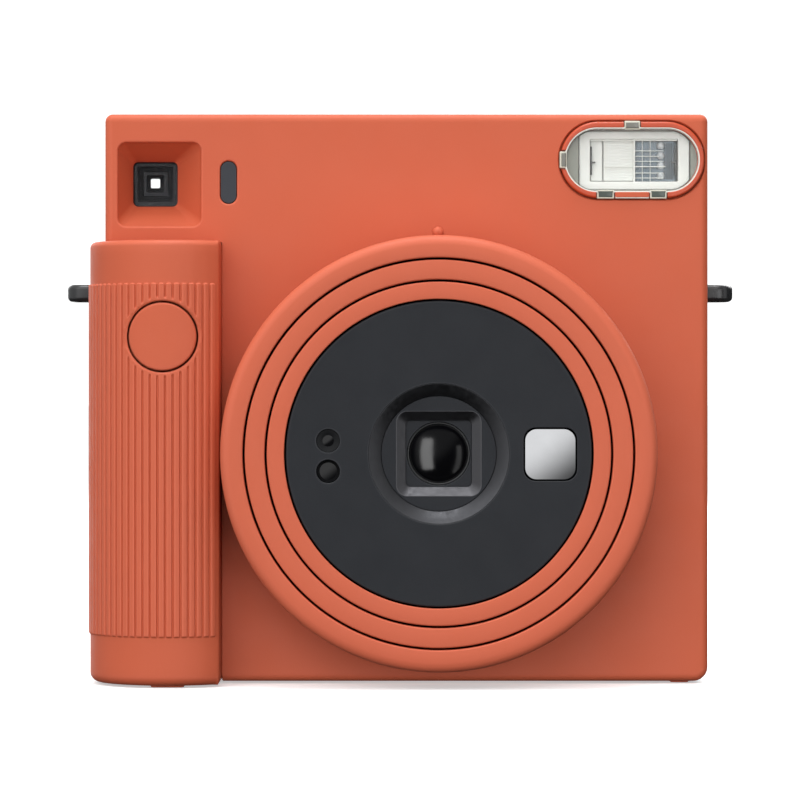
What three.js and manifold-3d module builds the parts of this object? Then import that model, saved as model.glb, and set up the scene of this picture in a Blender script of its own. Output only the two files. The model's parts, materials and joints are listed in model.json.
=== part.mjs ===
// Instant camera with a telescoping lens, a ribbed grip and a swing-open film door.
// Millimetres. +X is to the right as seen from the front, +Y runs from the lens to the film door, +Z is up.
// The origin is on the ground plane, under the middle of the bounding box.
import * as THREE from "three";
import { mergeVertices } from "three/addons/utils/BufferGeometryUtils.js";
import Module from "manifold-3d";

const wasm = await Module();
wasm.setup();

// ---- Driving dimensions ----
const WALL = 2;
const GAP = 0.3; // between two pieces that touch
const BODY = { left: -61.8, right: 64.5, bottom: 0.5, top: 119.3, front: -9.25, split: 7, back: 25 };
const GRIP = { left: -65, right: -37.3, top: 92.4, axisX: -48, axisY: -6.5, radius: 17 };
const RIBS = { bottom: 10.5, top: 83.5, pitch: 1.56, depth: 0.35 };
const LENS = { x: 7.95, z: 48.4, front: -28.75, turns: 40 };
const RING = { outer: 44.8, inner: 40.2, fillet: 1.5 };
const FINDER = { x: -51.6, z: 104.9, opening: 9.4 };
const FLASH = { x: 48.5, z: 109.65, halfLength: 15.4, halfHeight: 8.3 };
const METER = { x: -35.9, z: 104.95, width: 3.4, height: 8.9 };
const BUTTON = { x: -48.9, z: 72.45, radius: 7 };
const CHAMBER = { x0: -35.3, x1: 51.3, y0: 4.6, y1: 24.6, z0: 3.8, z1: 105.3, wall: 1.5 };
const PACK = { x0: -33.3, x1: 49.3, y0: 6.8, y1: 24, z0: 5.7, z1: 103.3 };
const DOOR = { left: -40.5, right: 60.5, bottom: 2.5, top: 112.5, front: 25.35, back: 28.7 };
const HINGE = { x: 61.9, y: 27, radius: 1.7, pin: 0.8, knuckle: 5.5 };
const FILM_SLOT = { half: 39.5, y0: 9.4, y1: 13.2 };
const FLAP = { hingeY: 12.3, z: 118.2, thick: 1.2 };
const BATTERY = { x: -49.2, frontY: -8.3, rearY: 8.6, radius: 7.8, z0: 3.6, length: 27 };
const BATTERY_LID = { x0: -58.3, x1: -40.2, y0: -15.5, y1: 17.5, z0: 0.8, z1: 2.3 };
const ROLLER = { z: 110, frontY: 7.7, rearY: 15.3, radius: 3.5, journal: 1.2 };
const GEAR = { module: 0.76, x0: -38.2, x1: -36, bore: 1.4 };
const IDLER = { y: 5.5, teeth: 30 };
const PINION_TEETH = 10;
const MOTOR = { y: 5, radius: 7, x0: -60.5, x1: -41 };
const DIAL = { x: -51.5, z: 82, y: 20.6, radius: 8, windowZ: 88.2 };
const LUG = { y: 14.5, z: 82.3, thick: 3.6, tip: 71.5 };
const BLADE = { pivot: 8.5, pad: 3.2, boss: 1.6, thick: 0.4 };

// ---- Materials ----
const FINISH = {
  shell: { color: 0xcf6a4e, roughness: 0.55, metalness: 0 },
  black: { color: 0x2c2d30, roughness: 0.5, metalness: 0 },
  steel: { color: 0xb9bcc0, roughness: 0.3, metalness: 1 },
  mirror: { color: 0xe6e8ea, roughness: 0.05, metalness: 1 },
  glass: { color: 0x1c2026, roughness: 0.05, metalness: 0 },
  clear: { color: 0xe8eeea, roughness: 0.08, metalness: 0 },
  window: { color: 0x454b54, roughness: 0.2, metalness: 0 },
  white: { color: 0xe9eae6, roughness: 0.6, metalness: 0 },
  board: { color: 0x1f5c3a, roughness: 0.6, metalness: 0 },
  battery: { color: 0x8f9398, roughness: 0.35, metalness: 0.8 },
};

// ---- Solids from three.js geometry ----

/** A closed three.js geometry as a solid that can be joined and cut. */
function toSolid(geometry) {
  const bare = geometry.index ? geometry.toNonIndexed() : geometry.clone();
  for (const name of Object.keys(bare.attributes)) {
    if (name !== "position") bare.deleteAttribute(name);
  }
  const merged = mergeVertices(bare, 1e-4);
  const index = merged.index.array;
  const kept = [];
  for (let i = 0; i < index.length; i += 3) {
    const [a, b, c] = index.slice(i, i + 3);
    if (a !== b && b !== c && c !== a) kept.push(a, b, c);
  }
  const mesh = new wasm.Mesh({
    numProp: 3,
    vertProperties: merged.attributes.position.array,
    triVerts: new Uint32Array(kept),
  });
  return new wasm.Manifold(mesh);
}

/** A solid as a three.js geometry. */
function toGeometry(solid) {
  const mesh = solid.getMesh();
  const geometry = new THREE.BufferGeometry();
  geometry.setAttribute("position", new THREE.BufferAttribute(mesh.vertProperties, 3));
  geometry.setIndex(new THREE.BufferAttribute(mesh.triVerts, 1));
  geometry.computeVertexNormals();
  return geometry;
}

function box(x0, x1, y0, y1, z0, z1) {
  const geometry = new THREE.BoxGeometry(x1 - x0, y1 - y0, z1 - z0);
  return toSolid(geometry.translate((x0 + x1) / 2, (y0 + y1) / 2, (z0 + z1) / 2));
}

/** A polygon with each corner rounded by an arc. A corner is [x, y, radius]. */
function rounded(corners, steps = 3) {
  const points = [];
  corners.forEach(([x, y, radius], i) => {
    const corner = new THREE.Vector2(x, y);
    if (!radius) {
      points.push(corner);
      return;
    }
    const [px, py] = corners[(i + corners.length - 1) % corners.length];
    const [nx, ny] = corners[(i + 1) % corners.length];
    const back = new THREE.Vector2(px - x, py - y).normalize();
    const ahead = new THREE.Vector2(nx - x, ny - y).normalize();
    const half = Math.acos(back.dot(ahead)) / 2;
    const inward = back.clone().add(ahead).normalize();
    const centre = corner.clone().addScaledVector(inward, radius / Math.sin(half));
    const start = corner.clone().addScaledVector(back, radius / Math.tan(half)).sub(centre).angle();
    const end = corner.clone().addScaledVector(ahead, radius / Math.tan(half)).sub(centre).angle();
    const sweep = Math.atan2(Math.sin(end - start), Math.cos(end - start));
    for (let k = 0; k <= steps; k++) {
      const angle = start + (sweep * k) / steps;
      points.push(new THREE.Vector2(radius * Math.cos(angle), radius * Math.sin(angle)).add(centre));
    }
  });
  return points;
}

function roundedRect(x0, x1, y0, y1, radius, steps = 3) {
  return rounded([[x0, y0, radius], [x1, y0, radius], [x1, y1, radius], [x0, y1, radius]], steps);
}

/** A pill outline, longer in its first direction. */
function pill(x, y, halfLength, halfHeight, steps = 8) {
  const points = [];
  for (const side of [1, -1]) {
    for (let k = 0; k <= steps; k++) {
      const angle = side > 0 ? -Math.PI / 2 + (Math.PI * k) / steps : Math.PI / 2 + (Math.PI * k) / steps;
      const centre = x + side * (halfLength - halfHeight);
      points.push(new THREE.Vector2(centre + halfHeight * Math.cos(angle), y + halfHeight * Math.sin(angle)));
    }
  }
  return points;
}

/** An outline extruded over depth, with its end edges rounded by bevel. */
function extrude(points, depth, bevel, holes = []) {
  const shape = new THREE.Shape(points);
  shape.holes = holes.map((hole) => new THREE.Path(hole));
  const geometry = new THREE.ExtrudeGeometry(shape, {
    depth: depth - 2 * bevel,
    bevelEnabled: bevel > 0,
    bevelThickness: bevel,
    bevelSize: bevel,
    bevelOffset: -bevel,
    bevelSegments: 2,
    steps: 1,
  });
  return geometry.translate(0, 0, bevel);
}

/** An outline in X and Z, from y0 to y1. */
function alongY(points, y0, y1, bevel = 0, holes = []) {
  return toSolid(extrude(points, y1 - y0, bevel, holes).rotateX(Math.PI / 2).translate(0, y1, 0));
}

/** An outline in X and Y, from z0 to z1. */
function alongZ(points, z0, z1, bevel = 0, holes = []) {
  return toSolid(extrude(points, z1 - z0, bevel, holes).translate(0, 0, z0));
}

/** An outline in Y and Z, from x0 to x1. */
function alongX(points, x0, x1) {
  const basis = new THREE.Matrix4().makeBasis(
    new THREE.Vector3(0, 1, 0),
    new THREE.Vector3(0, 0, 1),
    new THREE.Vector3(1, 0, 0),
  );
  return toSolid(extrude(points, x1 - x0, 0).applyMatrix4(basis).translate(x0, 0, 0));
}

function cylinderX(y, z, radius, x0, x1, sides = 20) {
  const geometry = new THREE.CylinderGeometry(radius, radius, x1 - x0, sides);
  return toSolid(geometry.rotateZ(Math.PI / 2).translate((x0 + x1) / 2, y, z));
}

function cylinderY(x, z, radius, y0, y1, sides = 24) {
  const geometry = new THREE.CylinderGeometry(radius, radius, y1 - y0, sides);
  return toSolid(geometry.translate(x, (y0 + y1) / 2, z));
}

function cylinderZ(x, y, radius, z0, z1, sides = 20) {
  const geometry = new THREE.CylinderGeometry(radius, radius, z1 - z0, sides);
  return toSolid(geometry.rotateX(Math.PI / 2).translate(x, y, (z0 + z1) / 2));
}

/** A profile of [radius, y] turned about the Y axis, listed anticlockwise with the radius to the right. */
function turned(profile, sides = LENS.turns) {
  const points = profile.map(([radius, y]) => new THREE.Vector2(radius, y));
  if (profile[0][0] > 0) points.push(points[0].clone());
  return toSolid(new THREE.LatheGeometry(points, sides));
}

/** A solid between an outline in X and Z at y0 and another, with as many points, at y1. */
function loftY(front, y0, back, y1) {
  const count = front.length;
  const positions = [];
  for (const [outline, y] of [[front, y0], [back, y1]]) {
    for (const point of outline) positions.push(point.x, y, point.y);
  }
  const index = [];
  for (const [a, b, c] of THREE.ShapeUtils.triangulateShape(front, [])) {
    index.push(a, b, c);
    index.push(count + a, count + c, count + b);
  }
  for (let i = 0; i < count; i++) {
    const next = (i + 1) % count;
    index.push(i, count + i, next);
    index.push(count + i, count + next, next);
  }
  const geometry = new THREE.BufferGeometry();
  geometry.setAttribute("position", new THREE.Float32BufferAttribute(positions, 3));
  geometry.setIndex(index);
  return toSolid(geometry);
}

function square(x, z, side, radius, steps = 3) {
  return roundedRect(x - side / 2, x + side / 2, z - side / 2, z + side / 2, radius, steps);
}

function piece(name, solid, finish) {
  const mesh = new THREE.Mesh(toGeometry(solid), new THREE.MeshStandardMaterial(FINISH[finish]));
  mesh.name = name;
  return mesh;
}

// ---- Covers ----

/** The grip's outline in X and Y: a half cylinder, cut off by a wall beside the lens ring. */
function gripOutline(inset, backY, steps = 18) {
  const radius = GRIP.radius - inset;
  const right = GRIP.right - inset;
  const sweep = Math.asin((right - GRIP.axisX) / radius) + Math.PI / 2;
  const points = [new THREE.Vector2(GRIP.left + inset, backY)];
  for (let k = 0; k <= steps; k++) {
    const angle = (sweep * k) / steps - Math.PI / 2;
    const x = GRIP.axisX + radius * Math.sin(angle);
    const y = GRIP.axisY - radius * Math.cos(angle);
    points.push(new THREE.Vector2(x, y));
  }
  points.push(new THREE.Vector2(right, backY));
  return points;
}

/** The grip's outline with raised ribs at an even pitch round the curve and along the side. */
function ribbedOutline() {
  const startAngle = Math.asin((GRIP.right - GRIP.axisX) / GRIP.radius);
  const curve = GRIP.radius * (startAngle + Math.PI / 2);
  const sideLength = BODY.split - GRIP.axisY;
  const count = Math.floor((curve + sideLength - 1) / RIBS.pitch);
  const at = (distance, raise) => {
    if (distance > curve) return new THREE.Vector2(GRIP.left - raise, GRIP.axisY + distance - curve);
    const angle = startAngle - distance / GRIP.radius;
    const reach = GRIP.radius + raise;
    return new THREE.Vector2(GRIP.axisX + reach * Math.sin(angle), GRIP.axisY - reach * Math.cos(angle));
  };
  const points = [new THREE.Vector2(GRIP.axisX, 0)];
  for (let k = 0; k < count; k++) {
    const start = 0.7 + k * RIBS.pitch;
    for (const [share, raise] of [[0, -0.2], [0.18, RIBS.depth], [0.62, RIBS.depth], [0.8, -0.2]]) {
      points.push(at(start + share * RIBS.pitch, raise));
    }
  }
  return points.reverse();
}

function batteryOpening() {
  const { x0, x1, y0, y1 } = BATTERY_LID;
  return box(x0 - GAP, x1 + GAP, y0 - GAP, y1 + GAP, -1, WALL + 1);
}

function gripCover() {
  const inside = BODY.bottom + WALL;
  const outer = alongZ(gripOutline(0, BODY.split + 2), BODY.bottom, GRIP.top, 1);
  const ribs = alongZ(ribbedOutline(), RIBS.bottom, RIBS.top);
  const hollow = alongZ(gripOutline(WALL, BODY.split + 3), inside, GRIP.top - WALL);
  const intoBody = box(BODY.left + WALL, 0, BODY.front + WALL, 40, inside, 200);
  const behind = box(-100, 0, BODY.split, 40, -10, 200);
  const buttonHole = cylinderY(BUTTON.x, BUTTON.z, BUTTON.radius + 0.35, -30, -10, 32);
  const foot = alongZ(roundedRect(-51.6, -44.6, -19.6, -16.6, 1, 2), 0, 1.5);
  const ledges = box(-63.2, -59.3, -9.9, -8.4, 66, 79).add(box(-41.3, GRIP.right - 1, -9.9, -8.4, 66, 79));
  return outer.add(ribs).subtract(hollow).subtract(intoBody).subtract(behind)
    .subtract(buttonHole).add(foot).subtract(batteryOpening()).add(ledges);
}

function screwBoss(x, y) {
  return cylinderZ(x, y, 2.9, 1.5, 8, 12);
}

function screwHole(x, y) {
  return cylinderZ(x, y, 1.1, 0, 9, 10).add(cylinderZ(x, y, 2.3, -1, 1.7, 16));
}

const FRONT_SCREWS = [[-31, -1.5], [56, -2]];
const REAR_SCREW = [57, 17];

function frontCover() {
  const { left, right, bottom, top, front, split } = BODY;
  const outline = rounded([[left, bottom, 2], [right, bottom, 3], [right, top, 1.6], [left, top, 1.6]]);
  const inner = roundedRect(left + WALL, right - WALL, bottom + WALL, top - WALL, 1);
  const funnelBlock = box(-60.3, -40.4, front + 1, -2.3, 94.6, 114.8);
  const mouth = roundedRect(-59.05, -41.7, 95.8, 113.3, 1.8);
  const throat = square(FINDER.x, FINDER.z, FINDER.opening, 1.1);
  const gripCorner = box(-100, GRIP.right + GAP, -40, 40, -10, GRIP.top + GAP);
  const mark = cylinderY(LENS.x, LENS.z + RING.outer + 1.3, 1.1, front - 0.9, front + 1, 12);
  const foot = alongZ(roundedRect(56.8, 60.8, -5, 5, 1, 2), 0, 1.5);
  let cover = alongY(outline, front, split + 3, 1.5)
    .subtract(alongY(inner, front + WALL, split + 5))
    .add(funnelBlock)
    .subtract(loftY(mouth, front - 0.05, throat, -2.8))
    .subtract(alongY(throat, -4, 0))
    .subtract(cylinderY(LENS.x, LENS.z, 43.1, -20, 0, LENS.turns))
    .subtract(alongY(pill(FLASH.x, FLASH.z, FLASH.halfLength, FLASH.halfHeight), -20, front + WALL + 0.2))
    .subtract(alongY(meterOutline(0.2), -20, 0))
    .subtract(gripCorner)
    .add(mark)
    .add(foot);
  for (const [x, y] of FRONT_SCREWS) cover = cover.add(screwBoss(x, y)).subtract(screwHole(x, y));
  return cover.subtract(box(-100, 100, split, 40, -10, 200));
}

/** The light meter window's upright pill, grown by a margin. */
function meterOutline(margin) {
  const flat = pill(0, 0, METER.height / 2 + margin, METER.width / 2 + margin, 6);
  return flat.map((p) => new THREE.Vector2(METER.x - p.y, METER.z + p.x));
}

function bodyOutline(inset, radii) {
  const [low, high, step] = radii;
  return rounded([
    [GRIP.left + inset, BODY.bottom + inset, low],
    [BODY.right - inset, BODY.bottom + inset, low],
    [BODY.right - inset, BODY.top - inset, high],
    [BODY.left + inset, BODY.top - inset, high],
    [BODY.left + inset, GRIP.top - inset, step],
    [GRIP.left + inset, GRIP.top - inset, high],
  ]);
}

function rearCover() {
  const start = BODY.split + GAP;
  const inside = BODY.back - WALL;
  const slot = box(LENS.x - FILM_SLOT.half, LENS.x + FILM_SLOT.half, FILM_SLOT.y0, FILM_SLOT.y1, 110, 130);
  const doorway = box(CHAMBER.x0 - 0.7, CHAMBER.x1 + 0.9, 20, 40, 3.2, 106);
  const lugHole = (x0, x1) => box(x0, x1, LUG.y - 5.3, LUG.y + 5.3, LUG.z - 2.1, LUG.z + 2.1);
  const knuckle = (z0, z1) =>
    cylinderZ(HINGE.x, HINGE.y, HINGE.radius, z0, z1, 16)
      .add(box(HINGE.x - HINGE.radius, HINGE.x + HINGE.radius, BODY.back - 1, HINGE.y, z0, z1));
  const foot = (x0, x1) => alongZ(roundedRect(x0, x1, 17.9, 21.5, 1, 2), 0, 1.5);
  return alongY(bodyOutline(0, [3, 1.6, 0.6]), start - 3, BODY.back, 1.5)
    .subtract(box(-100, 100, -20, start, -10, 200))
    .subtract(alongY(bodyOutline(WALL, [1, 0.6, 0.6]), start - 1, inside))
    .add(cylinderY(DIAL.x, DIAL.z, 1.2, DIAL.y - 0.4, inside + 0.5, 12))
    .add(knuckle(DOOR.bottom, DOOR.bottom + HINGE.knuckle))
    .add(knuckle(DOOR.top - HINGE.knuckle, DOOR.top))
    .subtract(cylinderZ(HINGE.x, HINGE.y, HINGE.pin + 0.25, 0, 120, 12))
    .subtract(doorway)
    .subtract(slot)
    .subtract(alongY(square(FINDER.x, FINDER.z, 9.6, 1), 20, 30))
    .subtract(box(DIAL.x - 2.9, DIAL.x + 2.9, 20, 30, DIAL.windowZ - 2.4, DIAL.windowZ + 2.4))
    .subtract(lugHole(-80, -60))
    .subtract(lugHole(60, 80))
    .add(foot(56.5, 60.5))
    .add(foot(-63, -59))
    .subtract(batteryOpening())
    .add(screwBoss(...REAR_SCREW))
    .subtract(screwHole(...REAR_SCREW));
}

function batteryLid() {
  const { x0, x1, y0, y1, z0, z1 } = BATTERY_LID;
  const middle = (z0 + z1) / 2;
  const round = (z1 - z0) / 2;
  const plate = box(x0, x1, y0, y1 - round, z0, z1);
  const finger = box(-52, -46.4, y0 + 1, y0 + 2.2, 0.4, z0 + 0.4).subtract(box(-50, -48, -20, 0, 0, 0.5));
  return plate.add(cylinderX(y1 - round, middle, round, x0, x1, 12)).add(finger);
}

function caseScrew(name, x, y) {
  const solid = cylinderZ(0, 0, 1.9, 0, 0.9, 12).add(cylinderZ(0, 0, 0.9, 0.5, 6, 8));
  const mesh = piece(name, solid, "steel");
  mesh.position.set(x, y, BODY.bottom + 0.1);
  return mesh;
}

// ---- Film door ----

function backDoor() {
  const { left, right, bottom, top, front, back } = DOOR;
  const low = bottom + HINGE.knuckle + 0.4;
  const high = top - HINGE.knuckle - 0.4;
  const plate = alongY(roundedRect(left, right, bottom, top, 4), front - 3, back, 1)
    .subtract(box(-100, 100, 0, front, -10, 200));
  const pocket = alongY(roundedRect(-33.6, 57.5, bottom + 2, top - 2, 2), front - 1, 26.9);
  const link = box(right - 1.5, HINGE.x, HINGE.y - 1.2, HINGE.y + 1.2, low, high);
  const window = alongY(roundedRect(-5, 5, 41.5, 66.5, 1.5), 20, 40);
  const latchSlot = alongY(roundedRect(-39.4, -34.6, 48, 67, 0.8), 27.5, 40);
  return plate
    .subtract(box(59.6, 70, 0, 40, -10, low))
    .subtract(box(59.6, 70, 0, 40, high, 200))
    .add(link)
    .add(cylinderZ(HINGE.x, HINGE.y, HINGE.radius, low, high, 16))
    .subtract(cylinderZ(HINGE.x, HINGE.y, HINGE.pin + 0.25, 0, 120, 12))
    .subtract(pocket)
    .subtract(window)
    .subtract(latchSlot);
}

function doorLatch() {
  const slider = alongY(roundedRect(-39, -35, 48.4, 61.4, 0.6), 27.7, 28.3);
  const grips = [0, 1, 2, 3, 4].map((k) => box(-38.5, -35.5, 28.2, 28.65, 50.2 + 2 * k, 51.2 + 2 * k));
  return grips.reduce((all, one) => all.add(one), slider);
}

function pressurePlate() {
  const pad = (x) => box(x - 7, x + 7, 24.3, 26, 30, 78);
  return box(-22, 38, 25.8, 26.6, 20, 88).subtract(box(-6.5, 6.5, 20, 30, 40, 68))
    .add(pad(-14.5)).add(pad(30));
}

function filmDoor() {
  const group = new THREE.Group();
  group.add(
    piece("back_door", backDoor(), "shell"),
    piece("door_window", alongY(roundedRect(-4.7, 4.7, 41.8, 66.2, 1.2), 27, 28.4), "window"),
    piece("pressure_plate", pressurePlate(), "steel"),
    piece("door_latch", doorLatch(), "shell"),
  );
  return group;
}

// ---- Lens: everything is turned about the group's own Y axis ----

function lensMount() {
  return turned([
    [40.7, -25.9], [42, -25.9], [42, -6.95], [44.5, -6.95],
    [44.5, -5.45], [42, -5.45], [42, -3.8], [40.7, -3.8],
  ]);
}

function lensRing() {
  const { outer, inner, fillet } = RING;
  const { front } = LENS;
  const shoulder = fillet * (1 - Math.SQRT1_2);
  return turned([
    [inner, front + 0.3], [inner + 0.3, front], [outer - fillet, front],
    [outer - shoulder, front + shoulder], [outer, front + fillet], [outer, BODY.front - 0.35],
    [43.3, BODY.front - 0.35], [43.3, -11], [42.4, -11.3], [42.4, -12.1], [43.3, -12.4],
    [43.3, -26.2], [inner, -26.2],
  ]);
}

function barrel(inner, outer, wall, front, lip) {
  return turned([
    [inner, front + 0.3], [inner + 0.3, front], [outer - 0.3, front], [outer, front + 0.3],
    [outer, -4.2], [outer - wall, -4.2], [outer - wall, front + lip], [inner, front + lip],
  ]);
}

const FACE = { front: -28.2, radius: 31.35, meterX: -22.65, meterZ: [2.65, -3.6], mirrorX: 22.8 };

function facePlate() {
  const { front, radius } = FACE;
  let plate = turned([
    [14.3, front], [radius - 0.3, front], [radius, front + 0.3], [radius, -26.6],
    [33.4, -26.6], [33.4, -25.4], [12, -25.4], [12, -25.9],
  ]);
  for (const z of FACE.meterZ) plate = plate.subtract(cylinderY(FACE.meterX, z, 2.45, -40, 0, 20));
  return plate.subtract(alongY(square(FACE.mirrorX, -0.1, 10.9, 2.4), -40, front + 1.2));
}

function lensHood() {
  const profile = [[0, -26.2], [11.7, -26.2], [11.7, -25.1], [13.5, -25.1], [13.5, -23.2], [0, -23.2]];
  const disc = turned(profile, 32);
  return disc.subtract(loftY(square(0, 0, 17.5, 2.3), -26.25, square(0, 0, 13.2, 0.8), -23.1));
}

/** A round lens: a front cap of one bulge, a plain edge and a back cap of another. */
function lensElement(radius, front, edge, back, bulgeFront, bulgeBack) {
  const cap = (y, bulge, share) => [radius * share, y - bulge * (1 - share * share)];
  const profile = [cap(front, bulgeFront, 0), cap(front, bulgeFront, 0.4), cap(front, bulgeFront, 0.75)];
  profile.push([radius, front], [radius, edge]);
  profile.push(cap(back, bulgeBack, 0.75), cap(back, bulgeBack, 0.4), cap(back, bulgeBack, 0));
  return turned(profile, 24);
}

function shutterHousing() {
  const drum = cylinderY(0, 0, 14.5, -22.9, -12, 32);
  const post = (side) => cylinderY(side * BLADE.pivot, 0, 0.7, -18.6, -15.6, 8);
  return drum
    .subtract(cylinderY(0, 0, 6.7, -30, -19.6, 24))
    .subtract(cylinderY(0, 0, 2.8, -20, -14, 20))
    .subtract(cylinderY(0, 0, 12.6, -18.3, -15.9, 28))
    .subtract(cylinderY(0, 0, 6, -15, -10, 24))
    .add(post(1))
    .add(post(-1));
}

/** One shutter blade: a round pad on an arm that turns on its post. */
function shutterBlade(side, y) {
  const { pivot, pad, boss, thick } = BLADE;
  const padX = side * 1.4;
  const arm = box(Math.min(padX, side * pivot), Math.max(padX, side * pivot), y, y + thick, -1.1, 1.1);
  return cylinderY(padX, 0, pad, y, y + thick, 20)
    .add(arm)
    .add(cylinderY(side * pivot, 0, boss, y, y + thick, 16))
    .subtract(cylinderY(side * pivot, 0, 0.95, y - 1, y + 1, 12));
}

function lens() {
  const group = new THREE.Group();
  group.position.set(LENS.x, 0, LENS.z);
  const mirror = alongY(square(FACE.mirrorX, -0.1, 10.5, 2.2), -28, -27.3);
  const [lightZ, flashZ] = FACE.meterZ;
  group.add(
    piece("lens_mount", lensMount(), "black"),
    piece("lens_ring", lensRing(), "shell"),
    piece("barrel_outer", barrel(35.75, 39.65, 1.5, -28.6, 2.2), "shell"),
    piece("barrel_inner", barrel(31.65, 35.15, 1.45, -28.55, 1.65), "shell"),
    piece("lens_face_plate", facePlate(), "black"),
    piece("lens_hood", lensHood(), "black"),
    piece("front_lens", lensElement(6.4, -21.6, -20.6, -20.6, 1, 0.8), "glass"),
    piece("rear_lens", lensElement(5.7, -14.2, -13.4, -13.4, 0.5, -0.7), "glass"),
    piece("shutter_housing", shutterHousing(), "black"),
    piece("shutter_blade_left", shutterBlade(-1, -17.8), "steel"),
    piece("shutter_blade_right", shutterBlade(1, -17), "steel"),
    piece("selfie_mirror", mirror, "mirror"),
    piece("light_meter_lens", cylinderY(FACE.meterX, lightZ, 2.15, -27.4, -25.2, 20), "glass"),
    piece("flash_meter_lens", cylinderY(FACE.meterX, flashZ, 2.15, -27, -25.2, 20), "glass"),
  );
  return group;
}

// ---- Shutter release, in the grip ----

function shutterButton() {
  const skin = alongZ(gripOutline(0, BODY.split), BUTTON.z - 10, BUTTON.z + 10);
  const cap = cylinderY(BUTTON.x, BUTTON.z, BUTTON.radius, -30, -17.5, 32).intersect(skin);
  return cap
    .add(cylinderY(BUTTON.x, BUTTON.z, 8.3, -17.9, -16.9, 24))
    .add(cylinderY(BUTTON.x, BUTTON.z, 1.7, -17, -15.6, 12));
}

function buttonSpring() {
  const turns = 4;
  const radius = 4.9;
  const [start, end] = [-16.45, -12.15];
  const points = [];
  for (let k = 0; k <= turns * 10; k++) {
    const angle = (k / 10) * 2 * Math.PI;
    const y = start + ((end - start) * k) / (turns * 10);
    points.push(new THREE.Vector3(radius * Math.cos(angle), y, radius * Math.sin(angle)));
  }
  const wire = new THREE.Shape(new THREE.EllipseCurve(0, 0, 0.35, 0.35).getPoints(6).slice(0, 6));
  const path = new THREE.CatmullRomCurve3(points);
  const geometry = new THREE.ExtrudeGeometry(wire, { steps: turns * 10, extrudePath: path });
  return toSolid(geometry.translate(BUTTON.x, 0, BUTTON.z));
}

function release() {
  const { x, z } = BUTTON;
  const group = new THREE.Group();
  group.add(
    piece("shutter_button", shutterButton(), "shell"),
    piece("button_spring", buttonSpring(), "steel"),
    piece("release_switch", box(x - 3, x + 3, -13.9, -12, z - 3, z + 3), "black"),
    piece("release_board", box(-61.3, -39.7, -11.7, -10.2, 64, 81), "board"),
  );
  return group;
}

// ---- Power: two cells in the grip ----

function cell(name, y) {
  const { x, radius, z0, length } = BATTERY;
  const body = cylinderZ(x, y, radius, z0, z0 + length - 1, 24);
  return piece(name, body.add(cylinderZ(x, y, 3, z0 + length - 1.5, z0 + length, 12)), "battery");
}

function power() {
  const { x, frontY, rearY, radius } = BATTERY;
  const bore = (y) => cylinderZ(x, y, radius + GAP, 0, 32, 24);
  const outline = rounded([[-58.1, -17, 3], [-40.4, -17, 3], [-40.4, 17.3, 1], [-58.1, 17.3, 1]]);
  const holder = alongZ(outline, 3.2, 34.4).subtract(bore(frontY)).subtract(bore(rearY));
  const bridge = box(x - 3, x + 3, frontY - 3, rearY + 3, 31.1, 31.6);
  const bridgeSlot = box(x - 3.4, x + 3.4, frontY - 3.4, rearY + 3.4, 30.9, 31.9);
  const group = new THREE.Group();
  group.add(
    piece("battery_holder", holder.subtract(bridgeSlot), "black"),
    cell("battery_front", frontY),
    cell("battery_rear", rearY),
    piece("battery_bridge", bridge, "steel"),
    piece("battery_cover", batteryLid(), "shell"),
  );
  return group;
}

// ---- Film chamber, pack, rollers and drive ----

/** A spur gear's outline in Y and Z, with involute flanks, thinned a little for backlash. */
function gearOutline(y, z, teeth, phase) {
  const pressure = (25 * Math.PI) / 180;
  const pitch = (GEAR.module * teeth) / 2;
  const base = pitch * Math.cos(pressure);
  const tip = pitch + 0.75 * GEAR.module;
  const root = pitch - 1.05 * GEAR.module;
  const backlash = 0.09;
  const involute = (r) => {
    const a = Math.acos(Math.min(1, base / r));
    return Math.tan(a) - a;
  };
  const halfAt = (r) => Math.PI / (2 * teeth) - backlash / (2 * pitch) + involute(pitch) - involute(r);
  const points = [];
  for (let k = 0; k < teeth; k++) {
    const middle = phase + (2 * Math.PI * k) / teeth;
    const flank = [root, pitch, tip];
    for (const r of flank) {
      const angle = middle - halfAt(Math.max(r, base));
      points.push(new THREE.Vector2(y + r * Math.cos(angle), z + r * Math.sin(angle)));
    }
    for (const r of flank.reverse()) {
      const angle = middle + halfAt(Math.max(r, base));
      points.push(new THREE.Vector2(y + r * Math.cos(angle), z + r * Math.sin(angle)));
    }
  }
  return points;
}

/** The phase that puts a gear in mesh with one that is already placed. */
function meshPhase(from, to) {
  const direction = Math.atan2(to.z - from.z, to.y - from.y);
  const share = (direction - from.phase) / ((2 * Math.PI) / from.teeth);
  return direction + Math.PI - (0.5 - share) * ((2 * Math.PI) / to.teeth);
}

/** The drive train: two roller gears in mesh, an idler, and the motor's pinion below it. */
function driveTrain() {
  const reach = (GEAR.module * (IDLER.teeth + PINION_TEETH)) / 2;
  const drive = { y: ROLLER.frontY, z: ROLLER.z, teeth: PINION_TEETH, phase: 0 };
  const pinch = { y: ROLLER.rearY, z: ROLLER.z, teeth: PINION_TEETH };
  pinch.phase = meshPhase(drive, pinch);
  const idler = { y: IDLER.y, z: drive.z - Math.sqrt(reach ** 2 - (drive.y - IDLER.y) ** 2) };
  idler.teeth = IDLER.teeth;
  idler.phase = meshPhase(drive, idler);
  const pinion = { y: MOTOR.y, z: idler.z - Math.sqrt(reach ** 2 - (idler.y - MOTOR.y) ** 2) };
  pinion.teeth = PINION_TEETH;
  pinion.phase = meshPhase(idler, pinion);
  return { drive, pinch, idler, pinion };
}

const TRAIN = driveTrain();

function gearSolid({ y, z, teeth, phase }) {
  return alongX(gearOutline(y, z, teeth, phase), GEAR.x0, GEAR.x1);
}

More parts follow.
